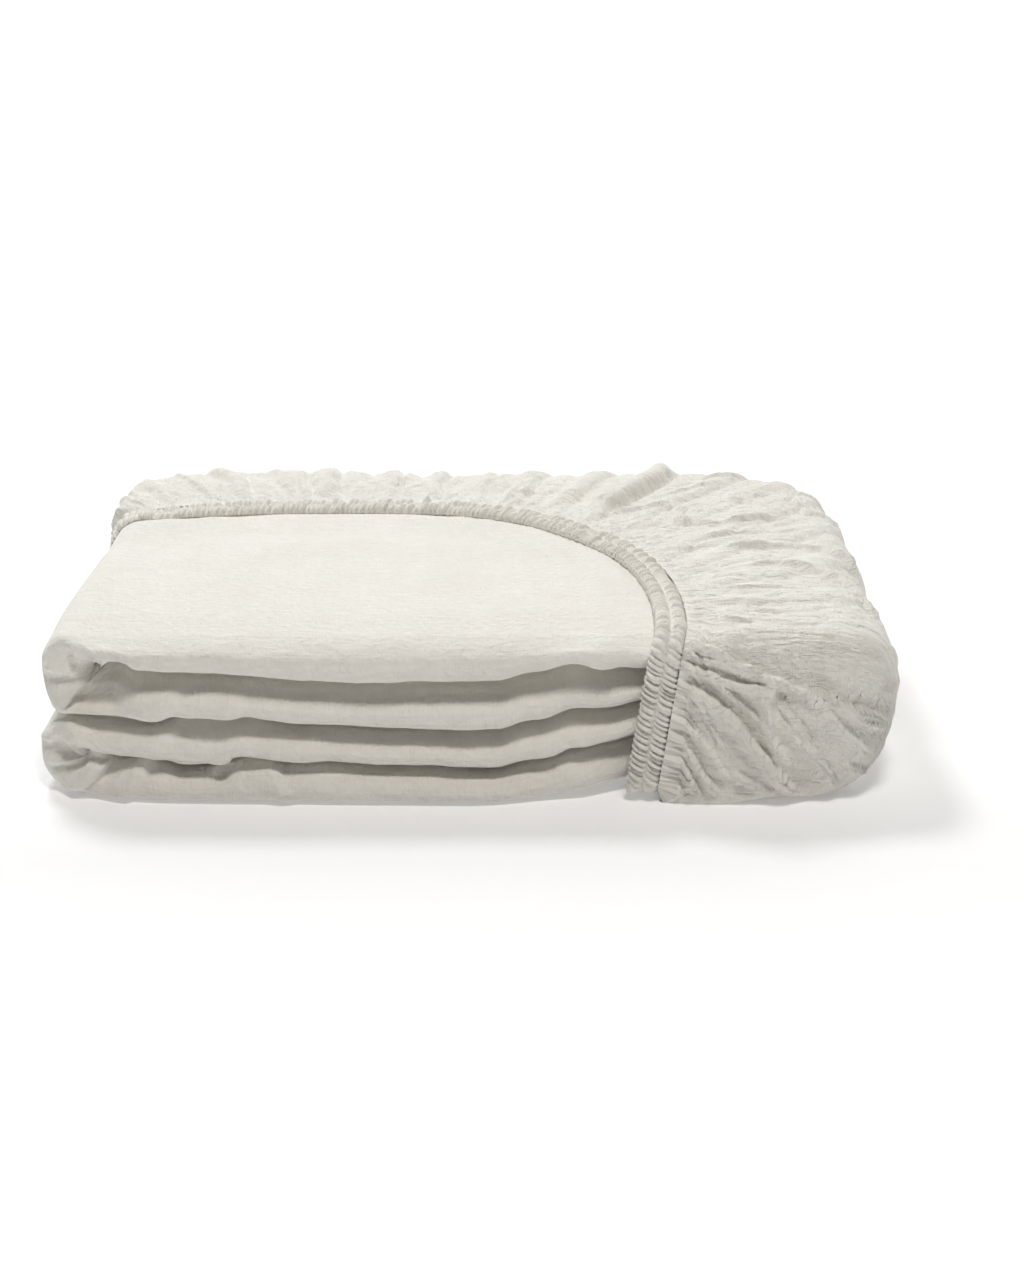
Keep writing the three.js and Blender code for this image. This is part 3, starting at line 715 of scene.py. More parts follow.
def ribProfiles(rib, length, top):
    # down each rib: the way out, the height, and the share of the way to under the stack, which is
    # 4 parts of 18 on top, 12 round the side and 2 underneath
    shoulder = length - np.minimum(blurredColumn("roundness", rib), 0.9 * length)
    atCorner = ease((rib - 10.5) / 2) * ease((16.5 - rib) / 1.5)
    lower = packShape["lowerSquareness"]
    lower = lower + (packShape["cornerSquareness"] - lower) * atCorner
    upper = packShape["upperSquareness"] - 0.7 * atCorner
    skirtTop, bulge = packShape["skirtTop"], packShape["bulge"]
    along, height, share = [], [], []
    for s in np.linspace(0, 1, 60, endpoint=False):
        along.append(s * shoulder)
        height.append(skirtTop + (top - skirtTop) * ease(1.5 * s))
        share.append(np.interp(s, [0, 0.18, 0.42, 0.7, 1], [0, 1, 2, 3, 4]) / 18)
    for angle in np.linspace(0, math.pi, 500):
        above = angle < math.pi / 2
        out, up = squarish(angle, upper if above else lower)
        along.append(shoulder + (length - shoulder) * out)
        height.append(bulge + up * (top - bulge if above else bulge))
        share.append((4 + 12 * angle / math.pi) / 18)
    for s in np.linspace(1, 0, 20)[1:]:
        along.append(s * shoulder)
        height.append(np.zeros_like(length))
        share.append((16 + 2 * (1 - s)) / 18)
    return np.array(along).T, np.array(height).T, np.array(share)


def evenSteps(along, height, share):
    # even steps down each rib, coarse under the stack
    rows = []
    for out, up in zip(along, height):
        run = np.hypot(np.diff(out), np.diff(up)) * np.where(up[1:] < 0.01, 0.12, 1.0)
        run = np.concatenate([[0], np.cumsum(run)])
        t = np.linspace(0, run[-1], cornerMesh["steps"])
        rows.append([np.interp(t, run, values) for values in (out, up, share)])
    rows = np.array(rows)
    return rows[:, 0], rows[:, 1], rows[:, 2]


def cornerBase():
    # the smooth outer face: one row for each rib, from the gathered edge round to under the stack
    rib = ribPlaces()
    edge, side = (splineThrough(points, rib / lastRib) for points in (edgePoints, sidePoints))
    length = np.linalg.norm(side - edge, axis=1)
    top = packShape["skirtTop"] + blurredColumn("crown", rib)
    along, height, share = evenSteps(*ribProfiles(rib, length, top))
    plan = edge[:, None, :] + (side - edge)[:, None, :] * (along / length[:, None])[:, :, None]
    ribOf = np.repeat(rib[:, None], cornerMesh["steps"], axis=1)
    outer = ease(along / length[:, None])
    x = plan[:, :, 0] - leanAt(ribOf, height) * (1 - 0.65 * outer)
    points = np.stack([x, plan[:, :, 1], height], axis=2)
    front = np.array([(row["x"], row["y"]) for row in frontLine], float)
    front = splineThrough(front, np.linspace(0, 1, 60))
    inwards = np.gradient(front, axis=0)
    inwards = unit(np.column_stack([-inwards[:, 1], inwards[:, 0]]))
    points = roundFrontEdges(points, inwards, front, top[:, None])
    # flat cloth coordinates: the plan, and below the shoulder straight out from the side
    ahead = np.gradient(side, axis=0)
    outward = unit(np.column_stack([-ahead[:, 1], ahead[:, 0]]))
    drop = np.maximum(top[:, None] - height, 0)
    return points, ribOf, share, plan + outward[:, None, :] * drop[:, :, None]


def bindingSeam():
    # the line where the corner is sewn on: up the left of the band, round the top, down the front
    s, place, face, across = evenPath()
    thick = bandThickness(place, face)[0]
    line = place - across * band["seamSide"] * band["width"]
    line = line + face * (band["seamHeight"] * thick)[:, None]
    upper = np.where((face[:, 2] > -0.85) & (place[:, 2] > 1.0))[0]
    line = line[upper[0]:upper[-1] + 1]
    return line[::max(1, int(1.6 / band["step"]))]


def nearestOnSeam(points, line):
    # distance from the seam, the length along it and the nearest point itself
    run = runAlong(line)
    away = np.empty(len(points))
    place = np.empty(len(points))
    nearest = np.empty((len(points), 3))
    a, b = line[:-1], line[1:]
    ab = b - a
    abab = np.maximum((ab * ab).sum(1), 1e-9)
    batch = 4000           # points taken at once, for the memory they need
    for start in range(0, len(points), batch):
        these = slice(start, start + batch)
        p = points[these]
        t = np.clip(((p[:, None, :] - a) * ab).sum(2) / abab, 0, 1)
        near = a + ab * t[:, :, None]
        d = np.linalg.norm(p[:, None, :] - near, axis=2)
        k = d.argmin(1)
        pick = np.arange(len(p))
        away[these] = d[pick, k]
        place[these] = run[k] + t[pick, k] * (run[k + 1] - run[k])
        nearest[these] = near[pick, k]
    return away, place, nearest


def gatherField(place, away, family):
    # rounded ridges with tight valleys, each its own width, height and length
    pitch, seed, wander = family["pitch"], family["seed"], family["wander"]
    drift = wander * softNoise(place / (pitch * 2.6), away / (pitch * 3.2), seed)
    drift = drift + 0.35 * wander * softNoise(place / pitch, away / (pitch * 1.4), seed + 5)
    x = place / pitch + drift
    cell = np.floor(x)
    inside = x - cell
    own = lattice(cell, 0, seed + 1)
    length = family["reach"] * (0.75 + 0.4 * lattice(cell, 3, seed + 2))
    ridge = (4 * inside * (1 - inside)) ** 0.95
    rising = ease((away - family["start"]) / (family["full"] - family["start"]))
    dying = 1 - ease((away - 0.35 * length) / (0.65 * length))
    return family["rise"] * (0.72 + 0.28 * own) * (ridge - 0.45) * rising * dying


def creaseField(a, b, crease, seed, turned=1):
    # a ridge on one side of the path, a tuck beside it and a long slope beyond
    width = crease["width"]
    wander = 0.8 * softNoise(a / 7.0, b / 7.0, seed) + 0.25 * softNoise(a / 3.0, b / 3.0, seed + 9)
    signed, share = awayFromPath(a, b, crease["path"])
    signed = (signed + wander * min(1.0, 0.4 * width)) * turned
    ends = 0.1 + 0.9 * ease(share / 0.14) * ease((1 - share) / 0.25)
    off = (share <= 0.0) | (share >= 1.0)
    ends = np.where(off, 0.0, ends)
    top = signed + 0.7 * width
    roll = 1.3 * np.where(top > 0, bell(top / (0.55 * width)), bell(top / (1.2 * width)))
    beyond = signed - 0.1 * width
    tuck = 0.75 * np.where(beyond > 0, bell(beyond / (1.3 * width)), bell(beyond / (0.42 * width)))
    uneven = 0.88 + 0.3 * softNoise(a / 9.0, b / 9.0, seed + 3)
    hollow = 0
    if "hollow" in crease:
        reach = np.where(beyond > 0, crease["hollowReach"], 0.45 * width)
        hollow = crease["hollow"] * bell(beyond / reach)
    return (crease["rise"] * (roll - tuck) * uneven - hollow) * ends


def seenFromFront(points, normals, planeY):
    # where points are seen on an upright plane from in front, and how far they face that way
    x, y, z = (points[:, :, k] for k in range(3))
    ahead = (eye[1] - planeY) / (eye[1] - y)
    facing = ease(((normals * unit(np.array(eye) - points)).sum(axis=2) - 0.02) / 0.25)
    return eye[0] + (x - eye[0]) * ahead, eye[2] + (z - eye[2]) * ahead, facing


def mainGathers(rib, share, away):
    # each one a fold with one soft and one steep side
    rise = np.zeros(rib.shape)
    for k, fold in enumerate(gathers):
        u = (rib - fold["at"]) / fold["width"]
        u = u + 0.5 * softNoise(away / 9.0, 0 * away + k, 140 + k) * ease(away / 8)
        ridge = 1 / (1 + (0.95 * u) ** 4) - 0.6 * bell((u - 1.55) / 0.42) - 0.25 * bell((u + 1.8) / 0.6)
        dying = 1 - ease((share - 0.35 * fold["reach"]) / fold["reach"])
        rise += fold["rise"] * ridge * ease(share / 0.12) * dying
    return rise


def cornerCreases(base, normals, flatX, flatY):
    folds = np.zeros(base.shape[:2])
    for k, crease in enumerate(topCreases):
        folds += creaseField(flatX, flatY, crease, creaseSeeds["top"] + k, turned=-1)
    planeX, planeZ, facing = seenFromFront(base, normals, creasePlanes["corner"])
    facing = facing * ease((base[:, :, 0] - 70) / 8)
    for k, crease in enumerate(frontCreases):
        folds += creaseField(planeX, planeZ, crease, creaseSeeds["front"] + k) * facing
    # where folds cross they don't add up without end
    high, deep = creaseLimits["rise"], creaseLimits["depth"]
    return np.where(folds > 0, high * np.tanh(folds / high), deep * np.tanh(folds / deep))


def cornerTucks(place, slanted, away):
    # short tucks that follow the gathers, sharp at the bottom
    rise = np.zeros(place.shape)
    for tuckSet in tucks:
        u, v = slanted / tuckSet["apart"], away / tuckSet["long"]
        lines = softNoise(u, v, tuckSet["seed"])
        lines = lines + 0.4 * softNoise(u * 2.3, v * 1.7, tuckSet["seed"] + 2)
        here = ease(softNoise(place / 31.0, away / 37.0, tuckSet["seed"] + 5) * 1.2 + 0.55)
        sharp = np.clip(1 - np.abs(lines) / tuckSet["wide"], 0, 1) ** 1.5
        rise -= tuckSet["deep"] * sharp * here * ease(away / tuckSet["from"])
    return rise


def cornerUnevenness(base, place, slanted, away):
    # broad puffing, a fine crumple, and puckers that come and go
    x, y, z = (base[:, :, k] for k in range(3))
    size = unevenness["puffSize"]
    puff = layeredNoise(x / size + z / 60.0, y / size - z / 50.0, 5, 2)
    crumple = layeredNoise(place / 9.0, away / 14.0 + z / 40.0, 6, 3)
    pucker = layeredNoise(slanted / unevenness["puckerSize"], away / 7.0, 8, 2)
    pucker = np.clip(1 - np.abs(pucker) / 0.4, 0, 1) ** 1.3
    patches = 0.5 + 0.5 * ease(layeredNoise(x / 26.0, y / 26.0 + z / 22.0, 19, 2) + 0.5)
    rise = unevenness["puff"] * puff * ease(away / 25)
    rise = rise + unevenness["crumple"] * crumple * ease(away / 6)
    return rise - unevenness["pucker"] * pucker * ease(away / 4) * patches


def makeCorner():
    base, rib, share, flat = cornerBase()
    normals = gridNormals(base)
    shape = base.shape[:2]
    away, place, nearest = nearestOnSeam(base.reshape(-1, 3), bindingSeam())
    away, place, nearest = away.reshape(shape), place.reshape(shape), nearest.reshape(base.shape)
    z = base[:, :, 2]
    rise = mainGathers(rib, share, away)
    slanted = place - packShape["frontSlant"] * away * ease((rib - 13.6) / 1.8) * ease((z - 2) / 10)
    for family in gatherFamilies:
        strength = tableColumn(gatherStrength, family["strength"], rib)
        rise += gatherField(slanted, away, family) * strength
    rise += cornerCreases(base, normals, flat[:, :, 0] - leanAt(rib, z), flat[:, :, 1])
    rise += cornerTucks(place, slanted, away)
    rise += cornerUnevenness(base, place, slanted, away)
    rise *= ease((z - 1.0) / 12) * ease(away / 2.5)
    points = base + normals * rise[:, :, None]
    # the cut edge is sewn to the band all the way round, where it is off the floor
    rim = np.zeros(shape, bool)
    rim[:, 0] = rim[0, :] = rim[-1, :] = True
    drawn = np.where(rim & (away < 9) & (z > 0.4), 1.0, 0.0)
    points = points + (nearest - points) * drawn[:, :, None]
    points[:, :, 2] = np.maximum(points[:, :, 2], 0.05)
    points, uv = points.reshape(-1, 3), flat.reshape(-1, 2)
    return meshPiece("corner_cloth", points, quadsOfGrid(*shape), cornerCloth, uv)


corner = makeCorner()
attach(corner, "root")
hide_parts("gathered_corner")
print("corner faces", len(corner.data.polygons))

print("stage: the folded panel")

frontHeights = table("x bottom gapCD gapBC gapAB top", [
    (-150, 0, 19, 31.5, 50, 62.5),
    (-134, 0, 16, 31, 54.5, 63.5),
    (-122, 0, 16.5, 30.5, 51.5, 63.8),
    (-108, 0, 11.5, 31, 50.5, 64),
    (-96, 0, 11.5, 31.3, 50, 64.2),
    (-85, 0, 15.5, 30.5, 49.7, 64.3),
    (-60, 0, 14.3, 27.8, 47.8, 64.4),
    (-27, 0, 12.5, 26, 46.9, 64.6),
    (10, 0, 10.8, 26.3, 47.3, 64.6),
    (24, 0.6, 13.5, 30, 50.3, 64.4),
    (40, 2.4, 17.5, 33.2, 54.2, 64),
    (52, 3.8, 20, 33.4, 51.5, 63.4),
    (66, 5.4, 23.5, 36.5, 50.5, 62.8),
    (95, 4, 19, 33, 48, 62.4),
])
frontEdges = table("x A B C D", [
    (-150, -111, -109, -111, -111),
    (-120, -114, -112, -112, -114.5),
    (-60, -115, -113, -113, -116.5),
    (0, -115, -112.5, -113, -117),
    (40, -113.5, -109.5, -109.5, -111),
    (66, -109.4, -107, -106, -102.5),
    (95, -107.4, -106, -106, -103),
])
panelLay = {
    "air": 1.4,               # between two layers
    "frontReach": 60,
    "backEdge": 105,
    "edgeRound": 8.5,
    "edgeSquareness": 2.15,
    "flatMargin": 40,
    "openSwell": 1.2,
    "puff": 1.7,              # beside the binding,
    "puffFrom": 14.2,         # this far in from the gathered edge
    "mouthDepth": 8.0,
    "frontDrop": 2.2,         # how much lower the top layer's front edge lies
}
# The back edge is drawn in at the left, and round the corner at the right.
backLeft = {"from": -122, "length": 22, "depth": 9}
backCorner = {"from": 56, "length": 92, "depth": 62}
# Where the strip turns: the ends of its layers, and how far the turn stands out, more at the front.
turns = {
    "gapAB": {"x": -144, "reach": 14.5, "more": 1.8, "frontRecess": 6},
    "gapBC": {"x": 128, "reach": 15, "more": 0, "frontRecess": 30},
    "gapCD": {"x": -144, "reach": 14.5, "more": 4.6, "frontRecess": 7},
}
layers = {
    "A": {"over": None, "under": "gapAB"},
    "B": {"over": "gapAB", "under": "gapBC"},
    "C": {"over": "gapBC", "under": "gapCD"},
    "D": {"over": "gapCD", "under": None},
}


def insideMouth(x, y):
    # how far a plan point lies in from the gathered edge, over the part left bare
    return -awayFromPath(x, y, splineThrough(edgePoints, np.linspace(0, 1, 240)))[0]


def frontShare(y):
    return 1 - ease((y + 115) / panelLay["frontReach"])


def gapHeight(name, x, y):
    level = levelHeights[name]
    return level + (tableColumn(frontHeights, name, x) - level) * frontShare(y)


def topHeight(x, y):
    inside = insideMouth(x, y)
    swell = panelLay["openSwell"] * ease((inside - panelLay["flatMargin"]) / 20)
    # the bare cloth puffs up beside the binding
    dying = 1 - 0.6 * ease((inside - 22) / 30)
    swell = swell + panelLay["puff"] * ease((inside - panelLay["puffFrom"]) / 3.2) * dying
    level = packShape["stackTop"] + swell
    return level + (tableColumn(frontHeights, "top", x) - level) * 0.8 * frontShare(y)


def floorHeight(x, y):
    covered = packShape["lift"] * ease((panelLay["flatMargin"] + 16 - insideMouth(x, y)) / 16)
    return np.maximum(covered, tableColumn(frontHeights, "bottom", x) * frontShare(y))


def layerFaces(layer, x, y):
    over, under = layers[layer]["over"], layers[layer]["under"]
    upper = gapHeight(over, x, y) - panelLay["air"] / 2 if over else topHeight(x, y)
    lower = gapHeight(under, x, y) + panelLay["air"] / 2 if under else floorHeight(x, y)
    return upper, lower


def backY(x):
    along = np.clip((x - backCorner["from"]) / backCorner["length"], 0, 1)
    drawnIn = backLeft["depth"] * ease((backLeft["from"] - x) / backLeft["length"])
    return panelLay["backEdge"] - drawnIn - backCorner["depth"] * (1 - np.sqrt(1 - along ** 2))


# Uneven rolls at the front: creases across a layer's rolled edge, by layer.
rollFolds = {
    "A": table("x slant rise width", [
        (-138, -0.5, 1.6, 5), (-40, 0.3, 0.5, 16), (44, 0.2, 0.9, 9),
    ]),
    "B": table("x slant rise width", [
        (-118, 0.6, 1.4, 7), (-92, 0.3, 1.0, 9), (30, -0.3, 0.9, 10),
    ]),
    "C": table("x slant rise width", [
        (-112, 0.5, 1.4, 8), (-60, 0.2, 0.7, 12), (26, -0.4, 0.8, 9),
    ]),
    "D": table("x slant rise width", [
        (-128, 0.8, 2.0, 4), (-110, 0.7, 2.2, 5), (-88, -0.7, 2.0, 5),
    ]),
}
layerSeeds = {"A": 3, "B": 17, "C": 29, "D": 43}
# How far back each layer's front edge is drawn, from its underside (0) to its top (1).
rollProfile = table("height A B C D", [
    (0.0, -1.5, 0.6, 0.6, 0.8),
    (0.2, -1.0, -1.2, -1.2, -0.8),
    (0.4, -0.4, 0.0, 0.0, 0.2),
    (0.56, 0.6, 2.4, 1.8, 1.4),
    (0.72, 1.8, 8.0, 5.0, 3.6),
    (0.88, 3.0, 11.2, 7.6, 5.6),
    (1.0, 5.0, 12.0, 8.5, 6.5),
])
panelMesh = {"run": 1.0, "turn": 44, "round": 14, "middle": 54}
# Spans of x with their own steps, finer at the left where the ends are pinched, and the right ends.
stripSpans = ((-144, -122, 1), (-122, -84, 1.6), (-84, 108.1, 2.9))
foldedEnds = (114, 121, 128)
openEnds = table("x full", [(112, 0.92), (116, 0.75), (119, 0.45), (120, 0.2)])
# How far right the inside of the left turns is pushed at the front, by height.
turnSlant = table("height right", [
    (4, 0), (8, 1.5), (18, 6), (26, -3.5), (33, -5.5), (38, -3), (43, 2), (50, 8), (57, 9),
    (63, 0),
])
# The pinched mouth of the upper turn at the front: its left edge, by height.
mouthEdge = table("height x", [
    (30, -151), (36.5, -149.6), (38.8, -148.1), (42, -144.9), (47.5, -139.4), (57, -132.8),
    (64, -131),
])
# Pinches at the left, over (x, z) on the front.
panelCreases = table("path rise width", [
    ([(-131, 57.0), (-136.2, 56.7), (-141.1, 58.4), (-147, 62.8)], 2.2, 2.0),
    ([(-143, 50), (-147.5, 52), (-151.8, 51.6), (-157, 53)], 2.2, 2.6),
    ([(-132, 17.9), (-142.4, 18.9), (-147.3, 22.6), (-154, 29)], 1.8, 1.9),
    ([(-141, 17.4), (-150.3, 16.2), (-157.5, 16)], 1.8, 2.0),
    ([(-132, 17), (-136.8, 12.8), (-142.4, 7.6), (-146, 3)], 2.8, 2.3),
    ([(-150, 28), (-155, 25), (-160, 26)], 1.2, 2.2),
    ([(-87.5, 17.5), (-91, 14.5), (-96, 10)], 1.8, 2.0),
    ([(-118, 39), (-126, 37), (-131, 41)], 1.0, 2.4),
    ([(-104, 22), (-112, 25), (-118, 22)], 1.0, 3.0),
])


def panelStations():
    # places along the strip, from the right end of the top layer down to that of the bottom one
    def run(layer, leftwards, openEnd):
        places = [np.arange(a, b, panelMesh["run"] * wider) for a, b, wider in stripSpans]
        places = np.concatenate(places + ([] if openEnd else [foldedEnds]))
        made = [{"layer": layer, "x": float(x), "full": 1} for x in places]
        if openEnd:
            made += [{"layer": layer, **end} for end in openEnds]
        return made[::-1] if leftwards else made

    def turn(upper, lower, gap):
        steps = panelMesh["turn"] + 1
        ofTurn = {"layer": None, "upper": upper, "lower": lower, "gap": gap, "full": 1}
        return [{**ofTurn, "angle": math.pi * k / steps} for k in range(1, steps)]

    return (
        run("A", True, True) + turn("A", "B", "gapAB")
        + run("B", False, False) + turn("B", "C", "gapBC")
        + run("C", True, False) + turn("C", "D", "gapCD") + run("D", False, True)
    )


def panelRings():
    # depth in from the front or back edge, fullness there and the share of the way to the back
    p = panelLay["edgeSquareness"]
    angles = np.linspace(0.05, math.pi / 2, panelMesh["round"])
    depth = panelLay["edgeRound"] * (1 - np.cos(angles) ** (2 / p))
    full = np.sin(angles) ** (2 / p)
    front = [{"depth": d, "full": f, "share": 0.0} for d, f in zip(depth, full)]
    shares = np.linspace(0, 1, panelMesh["middle"])[1:-1]
    middle = [{"depth": panelLay["edgeRound"], "full": 1.0, "share": s} for s in shares]
    back = [{"depth": d, "full": f, "share": 1.0} for d, f in list(zip(depth, full))[::3]][::-1]
    made = front + middle + back
    return {key: np.array([ring[key] for ring in made]) for key in ("depth", "full", "share")}


def ringY(rings, front, back):
    frontDepth = np.where(rings["share"] == 0, rings["depth"], panelLay["edgeRound"])
    backDepth = np.where(rings["share"] == 1, rings["depth"], panelLay["edgeRound"])
    a, b = front + frontDepth, back - backDepth
    return a + (b - a) * rings["share"]


def panelPair(station, rings):
    # the strip's two faces at one station, for every ring
    if station["layer"]:
        layer = station["layer"]
        x = np.full(len(rings["share"]), station["x"])
        y = ringY(rings, tableColumn(frontEdges, layer, x), backY(x))
        upper, lower = layerFaces(layer, x, y)
        a, b = np.column_stack([x, y, upper]), np.column_stack([x, y, lower])
        return (a, b) if layer in "AC" else (b, a)
    gap, angle = station["gap"], station["angle"]
    t = turns[gap]
    x = np.full(len(rings["share"]), float(t["x"]))
    outwards = math.copysign(1, t["x"])
    out, up = squarish(np.array(angle), packShape["turnSquareness"])
    front = sum(tableColumn(frontEdges, station[layer], x) for layer in ("upper", "lower")) / 2
    front = front + t["frontRecess"] * out
    y = ringY(rings, front, backY(x + outwards * t["reach"] * out))
    taper = 1 - 0.75 * ease((y - 72) / 34)
    extent = t["reach"] * taper + t["more"] * ease((24 - y) / 80)
    high = layerFaces(station["upper"], x, y)[0]
    low = layerFaces(station["lower"], x, y)[1]
    z = (high + low) / 2 + up * (high - low) / 2
    outside = np.column_stack([x + outwards * extent * out, y, z])
    air = panelLay["air"]
    z = gapHeight(gap, x, y) + math.cos(angle) * air / 2
    inside = np.column_stack([x + outwards * air * math.sin(angle), y, z])
    return (outside, inside) if outwards < 0 else (inside, outside)


def rollFront(face, side, station):
    # a layer rolls out at the bottom of its front edge and is drawn in at the top
    layer = station["layer"]
    fade = 1 - ease((face[:, 1] + 112) / 34)
    ends = ease((station["x"] + 150) / 16)
    face[:, 1] += tableColumn(rollProfile, layer, 0.5 + 0.5 * side, "height") * fade * ends
    if layer == "A":
        face[:, 2] -= panelLay["frontDrop"] * ease((-78 - face[:, 1]) / 38) * ease(side) * ends


def shapeLeftTurns(outline):
    x, y, z = (outline[:, :, k] for k in range(3))
    # they roll over the ends of the layers inside them, slantwise
    inTurn = bell((x + 143) / 13) * ease((x + 160) / 6) * ease((-72 - y) / 40)
    x += tableColumn(turnSlant, "right", z, "height") * inTurn
    # the upper one opens in a slanting mouth, set back from its own rolled lip
    inMouth = ease((x - tableColumn(mouthEdge, "x", z, "height")) / 2.4 + 0.5)
    inMouth = inMouth * ease((-121 - x) / 14) * ease((z - 35) / 4) * ease((57 - z) / 3)
    y += panelLay["mouthDepth"] * inMouth * ease((-84 - y) / 20)


def panelRise(outline, normals, layerOf):
    x, y, z = (outline[:, :, k] for k in range(3))
    rise = np.zeros(x.shape)
    front = frontShare(y) ** 2
    for layer, seed in layerSeeds.items():
        own = 0.9 * layeredNoise(x / 34.0, z / 16.0 + y / 60.0, seed, 3) * (0.35 + 0.65 * front)
        own += 0.22 * layeredNoise(x / 7.0, z / 4.5 + y / 9.0, seed + 7, 2) * front
        for fold in rollFolds[layer]:
            across = (x - fold["x"] - fold["slant"] * (z - levelHeights["gapBC"])) / fold["width"]
            ridge = bell(across) - 0.8 * bell((across - 0.9) * 2)
            own += fold["rise"] * ridge * ease((-94 - y) / 14)
        rise += np.where(layerOf == layer, own, 0)
    planeX, planeZ, facing = seenFromFront(outline, normals, creasePlanes["panel"])
    facing = facing * ease((-88 - y) / 12)
    for k, crease in enumerate(panelCreases):
        rise += creaseField(planeX, planeZ, crease, creaseSeeds["panel"] + k) * facing
    rise *= np.where(y < -90, ease((z - 0.4) / 5), 1)
    # nothing stands out into the next layer, except at the rolled front
    onTop = (normals[:, :, 2] > 0.5) & (layerOf == "A")
    rise = np.where((y > -100) & (x > -143) & ~onTop, 0, rise)
    return np.where(onTop & (y > -100), 0.35 * layeredNoise(x / 60.0, y / 18.0, 71, 3), rise)


def makePanel():
    stations, rings = panelStations(), panelRings()
    first = np.empty((len(stations), len(rings["share"]), 3))
    second = np.empty_like(first)
    for i, station in enumerate(stations):
        a, b = panelPair(station, rings)
        middle = (a + b) / 2
        full = (rings["full"] * station["full"])[:, None]
        first[i] = middle + (a - middle) * full
        second[i] = middle + (b - middle) * full
        if station["layer"]:
            up = full[:, 0] if station["layer"] in "AC" else -full[:, 0]
            rollFront(first[i], up, station)
            rollFront(second[i], -up, station)
    # a ring of outline points for each station: first face front to back, second face back to front
    outline = np.concatenate([first, second[:, ::-1]], axis=1)
    shapeLeftTurns(outline)
    layerOf = np.array([s["layer"] or s["lower"] for s in stations])[:, None]
    around = np.roll(outline, -1, axis=1) - np.roll(outline, 1, axis=1)
    normals = unit(np.cross(around, np.gradient(outline, axis=0)))
    points = outline + normals * panelRise(outline, normals, layerOf)[:, :, None]
    points[:, :, 2] = np.maximum(points[:, :, 2], 0.0)
    # lengths along and across the strip, for the weave
    ringAt, stationAt = 20, 30      # where they are measured
    along = runAlong((first[:, ringAt] + second[:, ringAt]) / 2)
    across = 0.3 + runAlong(first[stationAt])
    across = np.concatenate([across, -across[::-1]])
    uv = np.stack(np.broadcast_arrays(along[:, None], across[None, :]), axis=2).reshape(-1, 2)
    rows, cols = outline.shape[:2]
    quads = quadsOfGrid(rows, cols, closeCols=True, flip=True)
    caps = []
    for row, turned in ((0, False), (rows - 1, True)):
        for j in range(cols // 2 - 1):
            quad = [row * cols + k for k in (j, j + 1, cols - 2 - j, cols - 1 - j)]
            caps.append(quad[::-1] if turned else quad)
    quads = np.vstack([quads, np.array(caps)])
    return meshPiece("folded_cloth", points.reshape(-1, 3), quads, panelCloth, uv)


panel = makePanel()
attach(panel, "root")
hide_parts("folded_panel")
print("panel faces", len(panel.data.polygons))

print("stage: stitches")

stitch = {"length": 2.1, "gap": 0.9, "thick": 0.32, "rows": [0.0, 0.93]}


def makeStitches():
    s, place, face, across = evenPath()
    total = s[-1] + (s[1] - s[0])
    thick = bandThickness(place, face)[0]
    points, quads = [], []
    for row, side in enumerate(stitch["rows"]):
        height = 0.50 if side == 0 else band["seamHeight"]
        line = place + across * (side * band["width"] / 2) + face * (height * thick)[:, None]
        count = int(total / (stitch["length"] + stitch["gap"]))
        for k in range(count):
            start = k * total / count + 0.25 * lattice(np.array(float(k)), 2, 9 + row)
            along = start + stitch["length"] * np.array([0, 0.25, 0.5, 0.75, 1.0])
            bow = np.array([-0.22, 0.12, 0.2, 0.12, -0.22])
            at, up, out = (interpRows(along, s, v) for v in (line, face, across))
            at = at + up * bow[:, None]
            wide = stitch["thick"] / 2 * np.array([0.45, 0.95, 1.0, 0.95, 0.45])
            base = len(points)
            for p, u, o, w in zip(at, up, out, wide):
                for a in range(6):
                    turn = math.pi * a / 3
                    points.append(p + (o * math.cos(turn) + u * math.sin(turn)) * w)
            quads += [list(q) for q in quadsOfGrid(5, 6, start=base, closeCols=True)]
            for a in (0, 24):
                end = [base + a + n for n in range(6)]
                quads += [end[:4], [end[0], *end[3:]]]
    points = np.array(points)
    uv = points[:, :2]
    return meshPiece("binding_stitches", points, np.array(quads), threadFinish, uv)


stitches = makeStitches()
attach(stitches, "root")
print("stitch faces", len(stitches.data.polygons))

print("stage: floor, light and camera")

studio = {
    "floor": (0.86, 0.86, 0.86, 1),
    "glowNear": 0.2,          # painted light: how much the floor glows around the cloth
    "glowFar": 0.95,          # painted light: how much it glows far behind the cloth, standing in for the lamps where they don't reach
    "nearTo": 0.25,           # metres
    "farFrom": 1.3,
    "wallFrom": 1.6,          # metres back to where the floor sweeps up
    "wallTop": 3.5,
    "sweep": 1.2,             # radius of that
    "world": 0.03,
    "air": (1, 0.97, 0.92, 1),
    "key": {"at": (-0.36, 0.48, 1.08), "size": 0.32, "power": 6.7, "colour": (0.965, 0.985, 1.0)},
    "fill": {"at": (0.14, -0.55, 1.12), "size": 0.28, "power": 6.8, "colour": (1.0, 0.975, 0.94)},
}


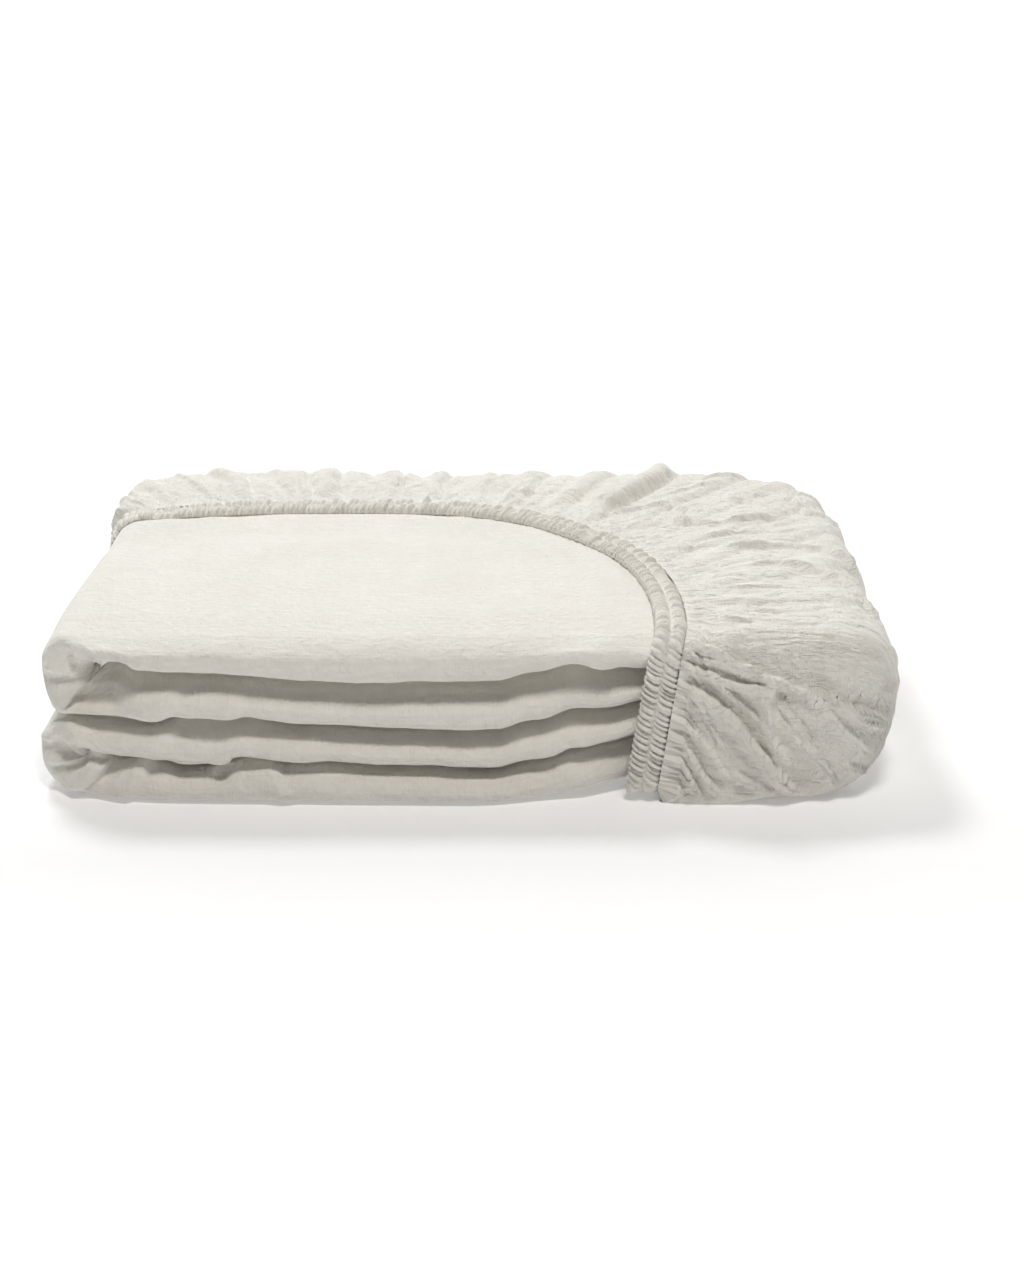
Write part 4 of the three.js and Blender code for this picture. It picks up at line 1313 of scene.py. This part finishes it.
def makeStage():
    material, tree = newMaterial("studio_paper_glow")
    place = addNode(tree, "TexCoord", {})
    far = addNode(tree, "VectorMath", {0: place.outputs["Object"]}, operation="LENGTH")
    # painted light: the floor glows like a lamp, faintly near the cloth and more strongly further away
    glow = addNode(tree, "MapRange", {
        "Value": far.outputs["Value"],
        "From Min": studio["nearTo"],
        "From Max": studio["farFrom"],
        "To Min": studio["glowNear"],
        "To Max": studio["glowFar"],
    }, interpolation_type="SMOOTHSTEP")
    setInputs(tree, tree.nodes["Principled BSDF"], {
        "Base Color": studio["floor"],
        "Roughness": 0.9,
        "Specular IOR Level": 0.1,
        "Emission Color": (1, 1, 1, 1),
        "Emission Strength": glow.outputs["Result"],
    })
    # a floor that sweeps up into a wall behind, in metres
    back, r = studio["wallFrom"], studio["sweep"]
    profile = [(-30.0, 0.0), (-3.0, 0.0), (back, 0.0)]
    angles = np.linspace(0, math.pi / 2, 16)[1:]
    profile += [(back + r * math.sin(a), r - r * math.cos(a)) for a in angles]
    profile += [(back + r, studio["wallTop"])]
    widths = (-30.0, -4.0, 4.0, 30.0)
    points = [(x / mm, y / mm, z / mm) for y, z in profile for x in widths]
    quads = quadsOfGrid(len(profile), len(widths))[:, ::-1]
    meshPiece("studio_floor", points, quads, material)


def softLight(name, settings):
    data = bpy.data.lights.new(name, "AREA")
    data.shape = "DISK"
    data.size = settings["size"]
    data.energy = settings["power"]
    data.color = settings["colour"]
    lamp = bpy.data.objects.new(name, data)
    scene.collection.objects.link(lamp)
    lamp.location = settings["at"]
    lamp.rotation_euler = (Vector((0, 0, 0.03)) - lamp.location).to_track_quat("-Z", "Y").to_euler()


makeStage()
softLight("key_light", studio["key"])
softLight("fill_light", studio["fill"])
world = bpy.data.worlds.new("studio_air")
scene.world = world
world.use_nodes = True
air = world.node_tree
setInputs(air, air.nodes["Background"], {"Color": studio["air"], "Strength": studio["world"]})

toning = scene.view_settings
toning.view_transform = "Standard"
toning.look = "None"
toning.exposure = 0

lens = bpy.data.cameras.new("view_camera")
lens.lens = 54.87
lens.sensor_width = 36
lens.clip_start = 0.01
camera = bpy.data.objects.new("view_camera", lens)
scene.collection.objects.link(camera)
camera.location = (0.016, -0.78124, 0.30849)
camera.rotation_euler = (math.radians(70), 0, 0)
bpy.context.scene.camera = camera

print("stage: done")
